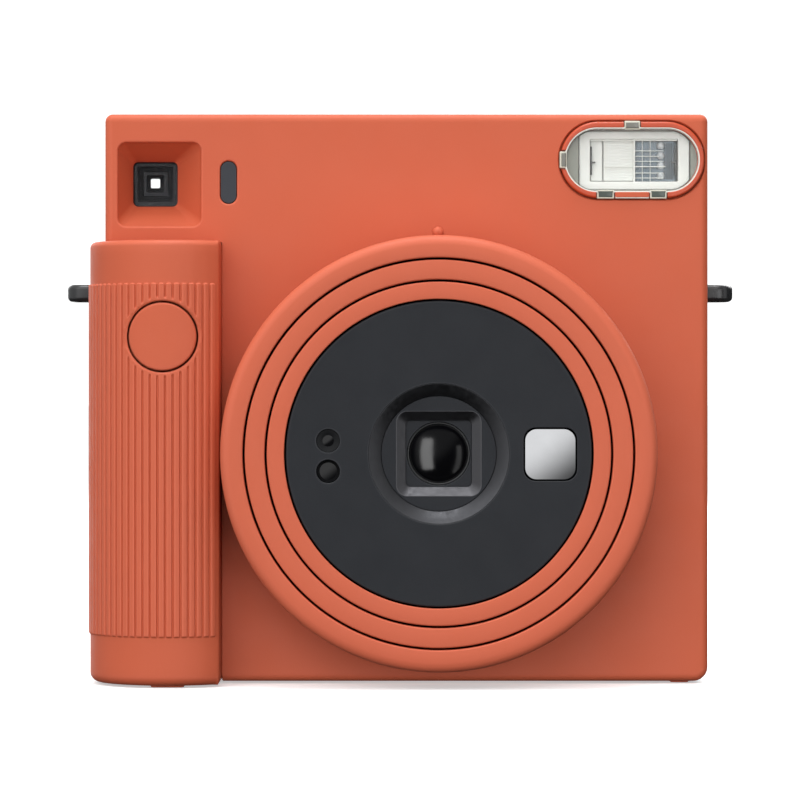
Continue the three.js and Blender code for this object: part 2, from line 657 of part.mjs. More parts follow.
function roller(gear) {
  const { y, z } = gear;
  return cylinderX(y, z, ROLLER.radius, CHAMBER.x0 + 2, CHAMBER.x1 - 2, 28)
    .add(cylinderX(y, z, ROLLER.journal, GEAR.x0, CHAMBER.x1 + 0.2, 16))
    .add(gearSolid(gear));
}

function filmChamber() {
  const { x0, x1, y0, y1, z0, z1, wall } = CHAMBER;
  const ear = (x) => box(x, x + wall, y0, y0 + 14, z1 - 1, z1 + 9.2);
  const bearing = ({ y, z }) => cylinderX(y, z, ROLLER.journal + 0.25, -60, 70, 16);
  const exposure = box(LENS.x - 31, LENS.x + 31, y0 - 5, y0 + 5, LENS.z - 31, LENS.z + 31);
  return box(x0, x1, y0, y1, z0, z1)
    .subtract(box(x0 + wall, x1 - wall, y0 + wall, y1 + 5, z0 + wall, z1 - wall))
    .add(ear(x0))
    .add(ear(x1 - wall))
    .subtract(bearing(TRAIN.drive))
    .subtract(bearing(TRAIN.pinch))
    .subtract(exposure)
    .subtract(box(LENS.x - 37.5, LENS.x + 37.5, 7.6, 12.2, z1 - 3, z1 + 2))
    .subtract(box(x1 - wall - 1, x1 + 1, 9.1, 11.9, 11.5, 21.5))
    .add(cylinderX(TRAIN.idler.y, TRAIN.idler.z, GEAR.bore - 0.2, GEAR.x0 - 0.2, x0 + 0.5, 12));
}

function filmPack() {
  const { x0, x1, y0, y1, z0, z1 } = PACK;
  const frame = box(x0 + 0.3, x1 - 0.3, y1 - 1, y1 + 1, 12, 97).subtract(box(x0 + 6, x1 - 6, 0, 40, 18, 91));
  const backRibs = [32, 48.4, 65].map((z) => box(x0 + 9, x1 - 9, y1 - 0.5, y1 - 0.4, z - 1, z + 1));
  let pack = box(x0, x1, y0, y1, z0, z1).subtract(frame.subtract(box(x0 + 2, x1 - 2, 0, 40, 14, 95)));
  for (const rib of backRibs) pack = pack.add(rib);
  return pack
    .subtract(box(LENS.x - 31, LENS.x + 31, y0 - 1, y0 + 0.8, LENS.z - 31, LENS.z + 31))
    .subtract(box(x1 - 0.6, x1 + 1, 9.1, 11.9, 11.5, 21.5));
}

/** Tapered tube that keeps stray light out between the shutter and the film. */
function lightShield() {
  const section = (side) => square(LENS.x, LENS.z, side, 4);
  const funnel = (front, back, y0, y1) => loftY(section(front), y0, section(back), y1);
  return funnel(46, 67, -3.2, CHAMBER.y0 - GAP).subtract(funnel(43, 64, -3.3, CHAMBER.y0));
}

function filmPick() {
  return box(51.8, 53, 8.5, 12.5, 12, 50).add(box(49.1, 52, 9.5, 11.5, 12, 14));
}

function ejectionFlap() {
  const { hingeY, z, thick } = FLAP;
  const x0 = LENS.x - FILM_SLOT.half + GAP;
  const x1 = LENS.x + FILM_SLOT.half - GAP;
  return box(x0, x1, FILM_SLOT.y0 + GAP, hingeY, z - thick / 2, z + thick / 2)
    .add(cylinderX(hingeY, z, thick / 2, x0, x1, 12));
}

function motor() {
  const { y, z } = TRAIN.pinion;
  return cylinderX(y, z, MOTOR.radius, MOTOR.x0, MOTOR.x1, 24)
    .add(cylinderX(y, z, 2.2, MOTOR.x1 - 1, MOTOR.x1 + 0.9, 12))
    .add(cylinderX(y, z, 0.8, MOTOR.x1 - 1, GEAR.x1 - 0.3, 10));
}

function filmTransport() {
  const bored = (gear, bore) => gearSolid(gear).subtract(cylinderX(gear.y, gear.z, bore, -60, 0, 12));
  const dial = cylinderY(DIAL.x, DIAL.z, DIAL.radius, DIAL.y, DIAL.y + 1, 30)
    .subtract(cylinderY(DIAL.x, DIAL.z, 1.5, 0, 40, 12));
  const group = new THREE.Group();
  group.add(
    piece("film_chamber", filmChamber(), "black"),
    piece("film_pack", filmPack(), "black"),
    piece("light_shield", lightShield(), "black"),
    piece("drive_roller", roller(TRAIN.drive), "steel"),
    piece("pinch_roller", roller(TRAIN.pinch), "steel"),
    piece("idler_gear", bored(TRAIN.idler, GEAR.bore), "white"),
    piece("motor_pinion", bored(TRAIN.pinion, 1), "white"),
    piece("motor", motor(), "steel"),
    piece("film_pick", filmPick(), "steel"),
    piece("ejection_flap", ejectionFlap(), "black"),
    piece("counter_dial", dial, "white"),
  );
  return group;
}

// ---- Viewfinder and windows ----

function viewfinder() {
  const { x, z } = FINDER;
  const bore = alongY(square(x, z, 9.2, 0.5, 1), -5, 30);
  const tunnel = alongY(square(x, z, 11, 0.5, 1), -2, 22.7).subtract(bore);
  const frameOutline = roundedRect(-59, -44.2, 97.5, 112.3, 2.5);
  const frame = alongY(frameOutline, 22, 28.75, 0.8)
    .subtract(box(-100, 0, 0, BODY.back + GAP, 0, 200))
    .subtract(alongY(square(x, z, 9.2, 1), 20, 40));
  const window = box(DIAL.x - 2.6, DIAL.x + 2.6, 23.3, 24.7, DIAL.windowZ - 2.1, DIAL.windowZ + 2.1);
  const metering = alongY(meterOutline(0), -9.15, -6.7).add(alongY(meterOutline(1), -6.9, -5.9));
  const group = new THREE.Group();
  group.add(
    piece("viewfinder_tunnel", tunnel, "black"),
    piece("viewfinder_front_lens", alongY(square(x, z, 8.6, 0.5, 1), -1.7, 0.3), "glass"),
    piece("viewfinder_rear_lens", alongY(square(x, z, 8.6, 0.8, 1), 25.6, 27.6), "glass"),
    piece("eyepiece_frame", frame, "black"),
    piece("counter_window", window, "clear"),
    piece("metering_window", metering, "window"),
  );
  return group;
}

// ---- Flash ----

/** The clear window's tabs: [x0, x1, z0, z1] about the flash's centre. */
const FLASH_TABS = [
  [-1.65, 1.65, 6, 8], [-7.4, -3.8, -8, -6], [3.7, 7.2, -8, -6], [-15, -13, -1.75, 1.75],
];

function flash() {
  const { x, z } = FLASH;
  const tab = ([x0, x1, z0, z1], margin, y0, y1) =>
    box(x + x0 - margin, x + x1 + margin, y0, y1, z + z0 - margin, z + z1 + margin);
  let bezel = alongY(pill(x, z, 15.1, 8.05), -9.8, -8).subtract(alongY(pill(x, z, 14.1, 6.8), -20, 0));
  let window = alongY(pill(x, z, 13.8, 6.5), -9.9, -8.3);
  for (const spot of FLASH_TABS) {
    bezel = bezel.subtract(tab(spot, 0.2, -20, -8.7));
    window = window.add(tab(spot, 0, -9.9, -8.9));
  }
  const reflector = box(x - 11.6, x + 11.6, -7.7, -0.7, z - 6.2, z + 6.2)
    .subtract(alongX(pill(-7.7, z, 5.4, 5.2), x - 10.6, x + 10.6));
  const group = new THREE.Group();
  group.add(
    piece("flash_bezel", bezel, "shell"),
    piece("flash_window", window, "clear"),
    piece("flash_reflector", reflector, "mirror"),
    piece("flash_tube", cylinderX(-5.3, z, 1.3, x - 10.2, x + 10.2, 12), "clear"),
    piece("flash_capacitor", cylinderZ(55.6, -1.3, 5.6, 64, 98, 24), "black"),
  );
  return group;
}

// ---- Strap lugs, board and pins ----

/** A flat strap loop that stands out of a side wall, with a foot that holds it inside. */
function strapLug(wallX, side) {
  const outward = (u) => wallX + side * u;
  const far = Math.abs(side * LUG.tip - wallX);
  const y = LUG.y;
  const outline = rounded([
    [-3.6, y - 6.4, 0], [-2.3, y - 6.4, 0], [-2.3, y - 5, 0], [far, y - 5, 3.5],
    [far, y + 5, 3.5], [-2.3, y + 5, 0], [-2.3, y + 6.4, 0], [-3.6, y + 6.4, 0],
  ], 4);
  const hole = roundedRect(0.2, 4.8, y - 3.2, y + 3.2, 1.2);
  const place = (points) => points.map((p) => new THREE.Vector2(outward(p.x), p.y));
  const turn = (points) => (side > 0 ? points : points.reverse());
  return alongZ(turn(place(outline)), LUG.z - LUG.thick / 2, LUG.z + LUG.thick / 2, 0.5, [turn(place(hole))]);
}

function mainBoard() {
  const chips = [[20, 30, 5], [40, 46, 3.5], [56, 70, 2.5], [80, 88, 4]];
  return chips.reduce(
    (board, [z0, z1, height]) => board.add(box(58.9 - height, 59, 10, 19, z0, z1)),
    box(58.6, 60.1, 7.9, 22, 9, 96),
  );
}

function shells() {
  const group = new THREE.Group();
  group.add(
    piece("front_cover", frontCover(), "shell"),
    piece("rear_cover", rearCover(), "shell"),
    piece("grip_cover", gripCover(), "shell"),
    piece("strap_lug_left", strapLug(GRIP.left, -1), "black"),
    piece("strap_lug_right", strapLug(BODY.right, 1), "black"),
    piece("main_board", mainBoard(), "board"),
    piece("door_hinge_pin", cylinderZ(HINGE.x, HINGE.y, HINGE.pin, 3.5, 111.5, 12), "steel"),
    caseScrew("case_screw_1", ...FRONT_SCREWS[0]),
    caseScrew("case_screw_2", ...FRONT_SCREWS[1]),
    caseScrew("case_screw_3", ...REAR_SCREW),
  );
  return group;
}

const camera = new THREE.Group();
camera.add(shells(), filmDoor(), lens(), release(), power(), filmTransport(), viewfinder(), flash());

export default camera;
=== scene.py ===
"""Looks for an instant camera with a telescoping lens. Sizes are in millimetres, and meshes in metres."""
import json
import math

import bmesh
import bpy
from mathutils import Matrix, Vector, geometry

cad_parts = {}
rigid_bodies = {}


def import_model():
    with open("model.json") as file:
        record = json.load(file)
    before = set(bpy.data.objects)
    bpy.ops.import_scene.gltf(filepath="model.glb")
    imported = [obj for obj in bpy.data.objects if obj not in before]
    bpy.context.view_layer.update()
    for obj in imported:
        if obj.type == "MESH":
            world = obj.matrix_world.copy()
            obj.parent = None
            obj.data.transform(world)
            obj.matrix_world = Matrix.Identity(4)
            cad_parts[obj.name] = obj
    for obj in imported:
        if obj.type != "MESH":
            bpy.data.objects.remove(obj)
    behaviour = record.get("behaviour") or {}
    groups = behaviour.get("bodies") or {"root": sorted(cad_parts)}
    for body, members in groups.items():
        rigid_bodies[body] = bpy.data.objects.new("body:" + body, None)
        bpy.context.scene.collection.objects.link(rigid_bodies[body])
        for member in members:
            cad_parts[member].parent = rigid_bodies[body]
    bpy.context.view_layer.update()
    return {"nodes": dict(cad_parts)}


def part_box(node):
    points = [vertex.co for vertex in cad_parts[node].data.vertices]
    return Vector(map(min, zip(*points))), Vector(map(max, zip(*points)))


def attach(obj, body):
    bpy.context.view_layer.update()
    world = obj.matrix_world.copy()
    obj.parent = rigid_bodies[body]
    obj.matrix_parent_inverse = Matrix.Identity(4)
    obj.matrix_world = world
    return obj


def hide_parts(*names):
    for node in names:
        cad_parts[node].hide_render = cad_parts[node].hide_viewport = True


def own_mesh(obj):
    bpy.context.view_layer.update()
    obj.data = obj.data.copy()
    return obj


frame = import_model()

MM = 0.001
WALL = 2.0
FINE = 192  # points round a large circle
SHARP = math.radians(32)  # edges that turn more than this are drawn sharp
TURNED = {
    "Y": lambda u, v, w: (u, w, v),
    "Z": lambda u, v, w: (u, v, w),
    "X": lambda u, v, w: (w, u, v),
}


class Box:
    """A CAD node's box at rest."""

    def __init__(self, node):
        low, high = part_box(node)
        self.x0, self.y0, self.z0 = (value / MM for value in low)
        self.x1, self.y1, self.z1 = (value / MM for value in high)
        self.cx = (self.x0 + self.x1) / 2
        self.cy = (self.y0 + self.y1) / 2
        self.cz = (self.z0 + self.z1) / 2


FRONT = Box("front_cover")
REAR = Box("rear_cover")
GRIP = Box("grip_cover")
RING = Box("lens_ring")
MOUNT = Box("lens_mount")
TUNNEL = Box("viewfinder_tunnel")
FLASH = Box("flash_window")
BUTTON = Box("shutter_button")
PIN = Box("door_hinge_pin")
LENS_X = RING.cx
LENS_Z = RING.cz
SPLIT = FRONT.y1
FACE = -9.25  # the front cover's flat face
BODY_BOTTOM = 0.5
BODY_BACK = 25.0

ROOM_DARK = 0.06  # the room's light at the lower right
ROOM_LIGHT = 0.8  # and at the upper left
WINDOW = 5.1  # the window light, in watts
SKY = 3.8  # the light above the camera, in watts
FLOOR_GLOW = 0.45


# ---- Materials ----

def shader(material, kind, x=0, y=0, **values):
    node = material.node_tree.nodes.new(kind)
    node.location = (x, y)
    for name, value in values.items():
        node.inputs[name.replace("_", " ")].default_value = value
    return node


def new_material(name):
    material = bpy.data.materials.new(name)
    material.use_nodes = True
    return material


def noise(material, scale, detail=3.0, y=0):
    coords = shader(material, "ShaderNodeTexCoord", -1100, y)
    node = shader(material, "ShaderNodeTexNoise", -900, y, Scale=scale, Detail=detail)
    material.node_tree.links.new(coords.outputs["Object"], node.inputs["Vector"])
    return node.outputs["Fac"]


def ramp(material, fac, low, high, y=0, start=0.3, end=0.7):
    """A factor that runs from start to end, mapped to run from low to high."""
    spans = {"From_Min": start, "From_Max": end, "To_Min": low, "To_Max": high}
    node = shader(material, "ShaderNodeMapRange", -600, y, **spans)
    material.node_tree.links.new(fac, node.inputs["Value"])
    return node.outputs["Result"]


def blend(material, fac, low, high, x=-300, y=200):
    """The mix of two colours, each one a value or another node's output."""
    node = shader(material, "ShaderNodeMix", x, y)
    node.data_type = "RGBA"
    links = material.node_tree.links
    links.new(fac, node.inputs["Factor"])
    for socket, value in ((node.inputs[6], low), (node.inputs[7], high)):
        if isinstance(value, tuple):
            socket.default_value = (*value, 1)
        else:
            links.new(value, socket)
    return node.outputs[2]


def bump(material, height, strength, depth):
    node = shader(material, "ShaderNodeBump", -250, -400, Strength=strength, Distance=depth)
    material.node_tree.links.new(height, node.inputs["Height"])
    return node.outputs["Normal"]


def finish(material, **inputs):
    """Sets a material's main shader. Each input is a value or another node's output."""
    tree = material.node_tree
    for name, value in inputs.items():
        socket = tree.nodes["Principled BSDF"].inputs[name.replace("_", " ")]
        if isinstance(value, bpy.types.NodeSocket):
            tree.links.new(value, socket)
        else:
            socket.default_value = value
    return material


def scaled(colour, factor, lift=0.0):
    return tuple(min(1.0, c * factor + lift) for c in colour)


def plastic(name, colour, rough, vary=0.05, grain=0.00002, edge_highlight=0.4, specular=0.5, coat=0.0):
    """Moulded plastic: faint colour mottling, a fine moulded grain, uneven gloss and a painted highlight that
    makes edges which turn outwards paler.
    """
    material = new_material(name)
    edge = shader(material, "ShaderNodeAttribute", -900, 600)
    edge.attribute_name = "edge"
    # painted highlight: edges that turn outwards are mixed towards a paler colour
    edge_highlight_mask = ramp(material, edge.outputs["Fac"], 0.0, edge_highlight, 600, 0.1, 1.0)
    patches = ramp(material, noise(material, 55, 4, 300), 0, 1, 300)
    mottle = blend(material, patches, scaled(colour, 1 - vary), scaled(colour, 1 + vary), -450)
    gloss = ramp(material, noise(material, 140, 3, -100), rough - 0.05, rough + 0.05, -100)
    return finish(
        material, Base_Color=blend(material, edge_highlight_mask, mottle, scaled(colour, 1.2, 0.04)), Roughness=gloss,
        Normal=bump(material, noise(material, 2600, 2, -400), 0.6, grain),
        Specular_IOR_Level=specular, Coat_Weight=coat, Coat_Roughness=0.08)


def metal(name, colour, rough, stretch=(1, 1, 40), scale=90, depth=0.00001):
    """Metal with fine lines along one direction."""
    material = new_material(name)
    links = material.node_tree.links
    coords = shader(material, "ShaderNodeTexCoord", -1300)
    mapping = shader(material, "ShaderNodeMapping", -1100, Scale=stretch)
    lines = shader(material, "ShaderNodeTexNoise", -900, Scale=scale, Detail=4.0)
    links.new(coords.outputs["Object"], mapping.inputs["Vector"])
    links.new(mapping.outputs["Vector"], lines.inputs["Vector"])
    fac = lines.outputs["Fac"]
    return finish(
        material, Metallic=1.0, Base_Color=blend(material, fac, scaled(colour, 0.9), colour),
        Roughness=ramp(material, fac, rough * 0.8, rough * 1.25), Normal=bump(material, fac, 0.5, depth))


def pane(name, colour, alpha, rough=0.04, coat=1.0):
    """Thin clear plastic, with a faint haze."""
    material = new_material(name)
    return finish(
        material, Alpha=ramp(material, noise(material, 120), max(0.0, alpha - 0.03), alpha + 0.03),
        Base_Color=blend(material, noise(material, 60, 2, 250), colour, scaled(colour, 0.93)),
        Roughness=ramp(material, noise(material, 300, 2, -300), rough, rough + 0.05, -300),
        Coat_Weight=coat, Coat_Roughness=0.02)


def lens_glass(name, tint):
    """Coated glass with a faint smear of dust in its gloss."""
    material = new_material(name)
    return finish(
        material, Roughness=ramp(material, noise(material, 260), 0.0, 0.03),
        Base_Color=blend(material, noise(material, 90, 2, 250), tint, scaled(tint, 0.95)),
        Transmission_Weight=1.0, IOR=1.52, Coat_Weight=0.6, Coat_Tint=(0.75, 0.8, 1.0, 1))


SHELL = plastic("shell_plastic", (0.505, 0.096, 0.0415), 0.54, vary=0.02, specular=0.28)
RIM_SHELL = plastic("flash_rim_plastic", (0.47, 0.058, 0.016), 0.24, vary=0.03, grain=0.000004, specular=0.4)
BLACK = plastic("black_plastic", (0.014, 0.0155, 0.019), 0.42, vary=0.12, specular=0.35)
DISC = plastic("lens_face_plastic", (0.0105, 0.012, 0.0155), 0.5, vary=0.05, specular=0.2)
# painted shade: a darker copy of the black plastic, for tunnels, cups, bores and inner parts where shade
# falls
SHADED_BLACK = plastic("black_painted_recess_shade", (0.003, 0.0035, 0.0045), 0.5, vary=0.2, specular=0.15, edge_highlight=0.1)
LUG = plastic("strap_lug_plastic", (0.012, 0.013, 0.0145), 0.3, vary=0.2)
SLATE = plastic("meter_window_plastic", (0.026, 0.03, 0.038), 0.25, vary=0.08, grain=0.000002, specular=0.25)
SMOKED = plastic("door_window_plastic", (0.012, 0.012, 0.014), 0.12, vary=0.2, grain=0.000002, coat=0.6)
WHITE = plastic("white_plastic", (0.76, 0.78, 0.74), 0.35, vary=0.02)
GEAR = plastic("gear_nylon", (0.75, 0.74, 0.68), 0.4, vary=0.05)
PAINT = plastic("mark_paint", (0.85, 0.85, 0.82), 0.4, vary=0.04)
INK = plastic("dial_ink", (0.05, 0.05, 0.055), 0.5, vary=0.1)
BOARD = plastic("board_lacquer", (0.02, 0.11, 0.05), 0.3, vary=0.3, grain=0.00003)
SLEEVE = plastic("battery_sleeve", (0.05, 0.07, 0.1), 0.25, vary=0.15, coat=0.4)
# painted highlight: the pale rim of the clear flash clips
TAB = plastic("clip_plastic", (0.5, 0.49, 0.4), 0.2, vary=0.1, grain=0.000004)
TAB_GREY = plastic("clip_grey", (0.13, 0.13, 0.11), 0.15, vary=0.3, grain=0.00003)
TAB_DARK = plastic("clip_dark", (0.025, 0.04, 0.028), 0.12, vary=0.4, grain=0.00003)
# painted shade: the grey-green of the shaded inside seen through the flash window's ends
PAINTED_SHADE_PLATE = plastic("flash_painted_shade_plate", (0.23, 0.24, 0.2), 0.4, vary=0.12)
# painted highlight: the bright edge of the clear flash pane, drawn as pale opaque plastic
RIM = plastic("pane_edge", (0.62, 0.62, 0.56), 0.15, vary=0.1, grain=0.000004)
SATIN = metal("satin_black", (0.083, 0.083, 0.089), 0.4, stretch=(1, 1, 1), scale=900, depth=0.00002)
# painted shade: a darker copy of the satin black, for the cone round the lens where shade falls
CONE_SHADED_SATIN = metal("cone_satin_painted_shade", (0.062, 0.063, 0.068), 0.42, stretch=(1, 1, 1), scale=900, depth=0.00002)
STEEL = metal("brushed_steel", (0.62, 0.63, 0.65), 0.3)
MIRROR = metal("mirror_silver", (0.9, 0.91, 0.93), 0.04, stretch=(1, 1, 1), scale=300, depth=0.0000005)
# painted reflection: the dark blue-grey that the flash lens's right half reflects
DARK_REFLECTION_FOIL = metal("foil_painted_dark_reflection", (0.12, 0.15, 0.175), 0.22, stretch=(1, 1, 12), scale=160)
CLEAR = pane("clear_plastic", (0.86, 0.88, 0.84), 0.06, coat=0.5)
FINDER_GLASS = pane("finder_glass", (0.02, 0.025, 0.04), 0.05, 0.02, 0.15)
TUBE_GLASS = lens_glass("tube_glass", (0.97, 0.98, 1.0))
BEAD = plastic("sensor_resin", (0.006, 0.0065, 0.009), 0.08, vary=0.2, grain=0.0000002, coat=0.25)
# painted highlight: pale acrylic for the bright glints in the flash lens
GLINT_BEAD_ACRYLIC = plastic("acrylic_painted_glints", (0.42, 0.45, 0.47), 0.08, vary=0.1, grain=0.0000002, specular=0.8, coat=1.0)
COATED = plastic("front_glass", (0.0012, 0.0012, 0.0016), 0.18, vary=0.2, grain=0.0000001, specular=0.12)


# ---- Outlines: lists of (u, v) in order round the shape ----

def rounded_rect(cx, cy, width, height, radius, grow=0.0, steps=8, between=0):
    """A rounded rectangle, with points between its corners if they are wanted."""
    half_w = width / 2 + grow
    half_h = height / 2 + grow
    radius = max(min(radius + grow, half_w, half_h), 0.02)
    points = []
    for sx, sy, start in ((1, 1, 0), (-1, 1, 90), (-1, -1, 180), (1, -1, 270)):
        for k in range(steps + 1):
            angle = math.radians(start + 90 * k / steps)
            u = cx + sx * (half_w - radius) + radius * math.cos(angle)
            v = cy + sy * (half_h - radius) + radius * math.sin(angle)
            points.append((u, v))
        along = (-2 * (half_w - radius), 0) if start % 180 == 0 else (0, -2 * (half_h - radius))
        flip = 1 if start < 180 else -1
        u, v = points[-1]
        for k in range(1, between + 1):
            share = k / (between + 1)
            points.append((u + flip * along[0] * share, v + flip * along[1] * share))
    return points


def growing(*spec, steps=8):
    """A rounded rectangle as a function of how far its whole edge moves outwards."""
    return lambda grow: rounded_rect(*spec, grow=grow, steps=steps)


def shrinking(*spec, steps=8):
    """A rounded rectangle as a function of how far its whole edge moves inwards."""
    return lambda inset: rounded_rect(*spec, grow=-inset, steps=steps)


def narrowing(cx, cy, width, height, radius, steps=8):
    """A rounded rectangle that keeps its corner radius, as a function of how far its sides move inwards."""
    return lambda inset: rounded_rect(cx, cy, width - 2 * inset, height - 2 * inset, radius, steps=steps)


def circle(cx, cy, radius, steps=FINE):
    angles = [2 * math.pi * k / steps for k in range(steps)]
    return [(cx + radius * math.cos(a), cy + radius * math.sin(a)) for a in angles]


def circles(steps, front=0.0, centre=(LENS_X, LENS_Z), points=FINE):
    """A chain of circles for a round wall. Each step is (radius, depth behind the front)."""
    return [(circle(*centre, radius, points), front + depth) for radius, depth in steps]


def set_back(profile, front):
    """A profile for turned(), with its depths measured from a front face."""
    return [(radius, front + depth, fillet) for radius, depth, fillet in profile]


def polygon(corners, inset=0.0, steps=6):
    """A polygon, anticlockwise, with arcs at its corners, each (u, v, radius) or (u, v, radius, share).
    Each edge moves inwards by inset times its share, which belongs to the edge that leaves the corner."""
    count = len(corners)
    shares = [corner[3] if len(corner) > 3 else 1.0 for corner in corners]
    lines = []
    for i, (u, v, *_) in enumerate(corners):
        nu, nv = corners[(i + 1) % count][:2]
        along = Vector((nu - u, nv - v)).normalized()
        inward = Vector((-along.y, along.x))
        lines.append((Vector((u, v)) + inward * inset * shares[i], along))
    points = []
    for i in range(count):
        (p0, d0), (p1, d1) = lines[i - 1], lines[i]
        cross = d0.x * d1.y - d0.y * d1.x
        reach = ((p1 - p0).x * d1.y - (p1 - p0).y * d1.x) / cross
        corner = p0 + d0 * reach
        radius = corners[i][2]
        turn = math.atan2(cross, d0.dot(d1))
        near = (shares[i - 1], shares[i])
        radius = max(radius - inset * max(near) if turn > 0 else radius + inset * min(near), 0.02)
        back = radius * math.tan(abs(turn) / 2)
        start = corner - d0 * back
        side = Vector((-d0.y, d0.x)) * (1 if turn > 0 else -1)
        centre = start + side * radius
        first = math.atan2((start - centre).y, (start - centre).x)
        for k in range(steps + 1):
            angle = first + turn * k / steps
            points.append((centre.x + radius * math.cos(angle), centre.y + radius * math.sin(angle)))
    return points


# ---- Meshes ----

class Skin:
    """Rings of points in millimetres, joined into tubes and faces."""

    def __init__(self, axis="Y"):
        self.points = []
        self.faces = []
        self.place = TURNED[axis]

    def raw_ring(self, points):
        first = len(self.points)
        self.points += points
        return list(range(first, len(self.points)))

    def ring(self, outline, depth):
        return self.raw_ring([self.place(u, v, depth) for u, v in outline])

    def tube(self, rings):
        for a, b in zip(rings, rings[1:]):
            for i in range(len(a)):
                j = (i + 1) % len(a)
                self.faces.append((a[i], a[j], b[j], b[i]))
        return self

    def face(self, loops):
        flat = [i for loop in loops for i in loop]
        outlines = [[Vector(self.points[i]) for i in loop] for loop in loops]
        for triangle in geometry.tessellate_polygon(outlines):
            self.faces.append(tuple(flat[k] for k in triangle))

    def closed(self, rings):
        """A tube with a face at each end."""
        self.tube(rings)
        self.face([rings[0]])
        self.face([rings[-1]])
        return self

    def chain(self, steps):
        rings = [self.ring(outline, depth) for outline, depth in steps]
        self.tube(rings)
        return rings[0], rings[-1]

    def plate(self, outer, holes=(), pockets=(), back_pockets=()):
        """A closed solid between a front and a back face. Each chain runs from the front to the back."""
        ends = [self.chain(steps) for steps in (outer, *holes)]
        fronts = [first for first, _ in ends]
        backs = [last for _, last in ends]
        for side, chains in ((fronts, pockets), (backs, back_pockets)):
            for steps in chains:
                first, last = self.chain(steps)
                side.append(first)
                self.face([last])
        self.face(fronts)
        self.face(backs)
        return self

    def slab(self, outline, low, high, radius):
        """A solid block with rounded rims. outline is a function of how far the edge moves inwards."""
        return self.plate(rim(outline, low, 1, radius) + rim(outline, high, -1, radius)[::-1])

    def build(self, name, material):
        mesh = bpy.data.meshes.new(name)
        mesh.from_pydata([tuple(value * MM for value in point) for point in self.points], [], self.faces)
        work = bmesh.new()
        work.from_mesh(mesh)
        bmesh.ops.remove_doubles(work, verts=work.verts, dist=0.000002)
        bmesh.ops.dissolve_degenerate(work, edges=work.edges, dist=0.000001)
        flat = [edge for edge in work.edges if is_flat(edge)]
        around = {face for edge in flat for face in edge.link_faces}
        bmesh.ops.beautify_fill(work, faces=list(around), edges=flat, method="ANGLE")
        bmesh.ops.recalc_face_normals(work, faces=work.faces)
        mark_edges(work)
        write_mesh(work, mesh)
        mesh.materials.append(material)
        return new_piece(name, mesh)


def write_mesh(work, mesh):
    """Puts worked faces into a mesh, smooth but for its sharp edges."""
    work.to_mesh(mesh)
    work.free()
    for face in mesh.polygons:
        face.use_smooth = True
    mesh.set_sharp_from_angle(angle=SHARP)


def new_piece(name, data):
    piece = bpy.data.objects.new(name, data)
    bpy.context.collection.objects.link(piece)
    return piece


def is_flat(edge):
    """True for an edge inside a flat area that is made of triangles."""
    if len(edge.link_faces) != 2 or any(len(face.verts) != 3 for face in edge.link_faces):
        return False
    return edge.calc_face_angle(1.0) < 0.0005


def fills_flat(face):
    """True for a face with many corners, or a long triangle that lies in one plane with its neighbour."""
    corners = len(face.verts)
    if corners > 3:
        return corners > 4
    if max(edge.calc_length() for edge in face.edges) < 3 * MM:
        return False
    return any(edge.is_manifold and edge.calc_face_angle() < 0.0005 for edge in face.edges)


def mark_edges(work):
    """Notes on each point how sharply the surface turns outwards there, for the painted edge highlight in the
    materials.
    """
    layer = work.verts.layers.float.get("edge") or work.verts.layers.float.new("edge")
    flat = {face for face in work.faces if fills_flat(face)}
    for vert in work.verts:
        turns = [edge.calc_face_angle_signed(0.0) for edge in vert.link_edges if edge.is_manifold]
        beside_flat = any(face in flat for face in vert.link_faces)
        vert[layer] = 0.0 if beside_flat else min(1.0, max([0.0, *turns]) / 0.45)


def rim(outline, depth, direction, radius, steps=5, support=0.3):
    """A rounded edge from a flat face to a wall. outline(inset) is the edge moved into the material."""
    rings = [(outline(radius + support), depth), (outline(radius + support / 2), depth)]
    for k in range(steps + 1):
        angle = math.pi / 2 * k / steps
        inset = radius * (1 - math.sin(angle))
        rings.append((outline(inset), depth + direction * radius * (1 - math.cos(angle))))
    return rings


def turned(name, profile, material, centre=(LENS_X, LENS_Z), axis="Y", steps=FINE):
    """A closed profile of (radius, depth, fillet) turned about an axis."""
    skin = Skin(axis)
    outline = polygon(profile, 0.0, 4) if len(profile[0]) == 3 else profile
    rings = []
    for k in range(steps):
        turn = 2 * math.pi * k / steps
        across, up = math.cos(turn), math.sin(turn)
        rings.append(skin.raw_ring([
            skin.place(centre[0] + radius * across, centre[1] + radius * up, depth)
            for radius, depth in outline]))
    return skin.tube(rings + rings[:1]).build(name, material)


def dome(name, radius, profile, material, centre=(LENS_X, LENS_Z), steps=96, axis="Y"):
    """A solid turned about its own axis. profile is (share of the radius, depth), from pole to pole."""
    skin = Skin(axis)
    rings = [skin.ring(circle(*centre, max(radius * share, 0.0005), steps), depth)
             for share, depth in profile]
    return skin.closed(rings).build(name, material)


def settle(piece):
    """Puts a piece's modifiers into its mesh."""
    graph = bpy.context.evaluated_depsgraph_get()
    mesh = bpy.data.meshes.new_from_object(piece.evaluated_get(graph))
    piece.modifiers.clear()
    piece.data = mesh
    work = bmesh.new()
    work.from_mesh(mesh)
    mark_edges(work)
    write_mesh(work, mesh)


def cut(piece, *cutters):
    for cutter in cutters:
        modifier = piece.modifiers.new("cut", "BOOLEAN")
        modifier.operation = "DIFFERENCE"
        modifier.solver = "EXACT"
        modifier.object = cutter
    settle(piece)
    for cutter in cutters:
        bpy.data.objects.remove(cutter)


def add(piece, slot, *nodes, body="camera_body"):
    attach(piece, body)
    if nodes:
        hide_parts(*nodes)
    return piece


def smoothstep(low, high, value):
    share = min(max((value - low) / (high - low), 0.0), 1.0)
    return share * share * (3 - 2 * share)


# ---- Covers ----

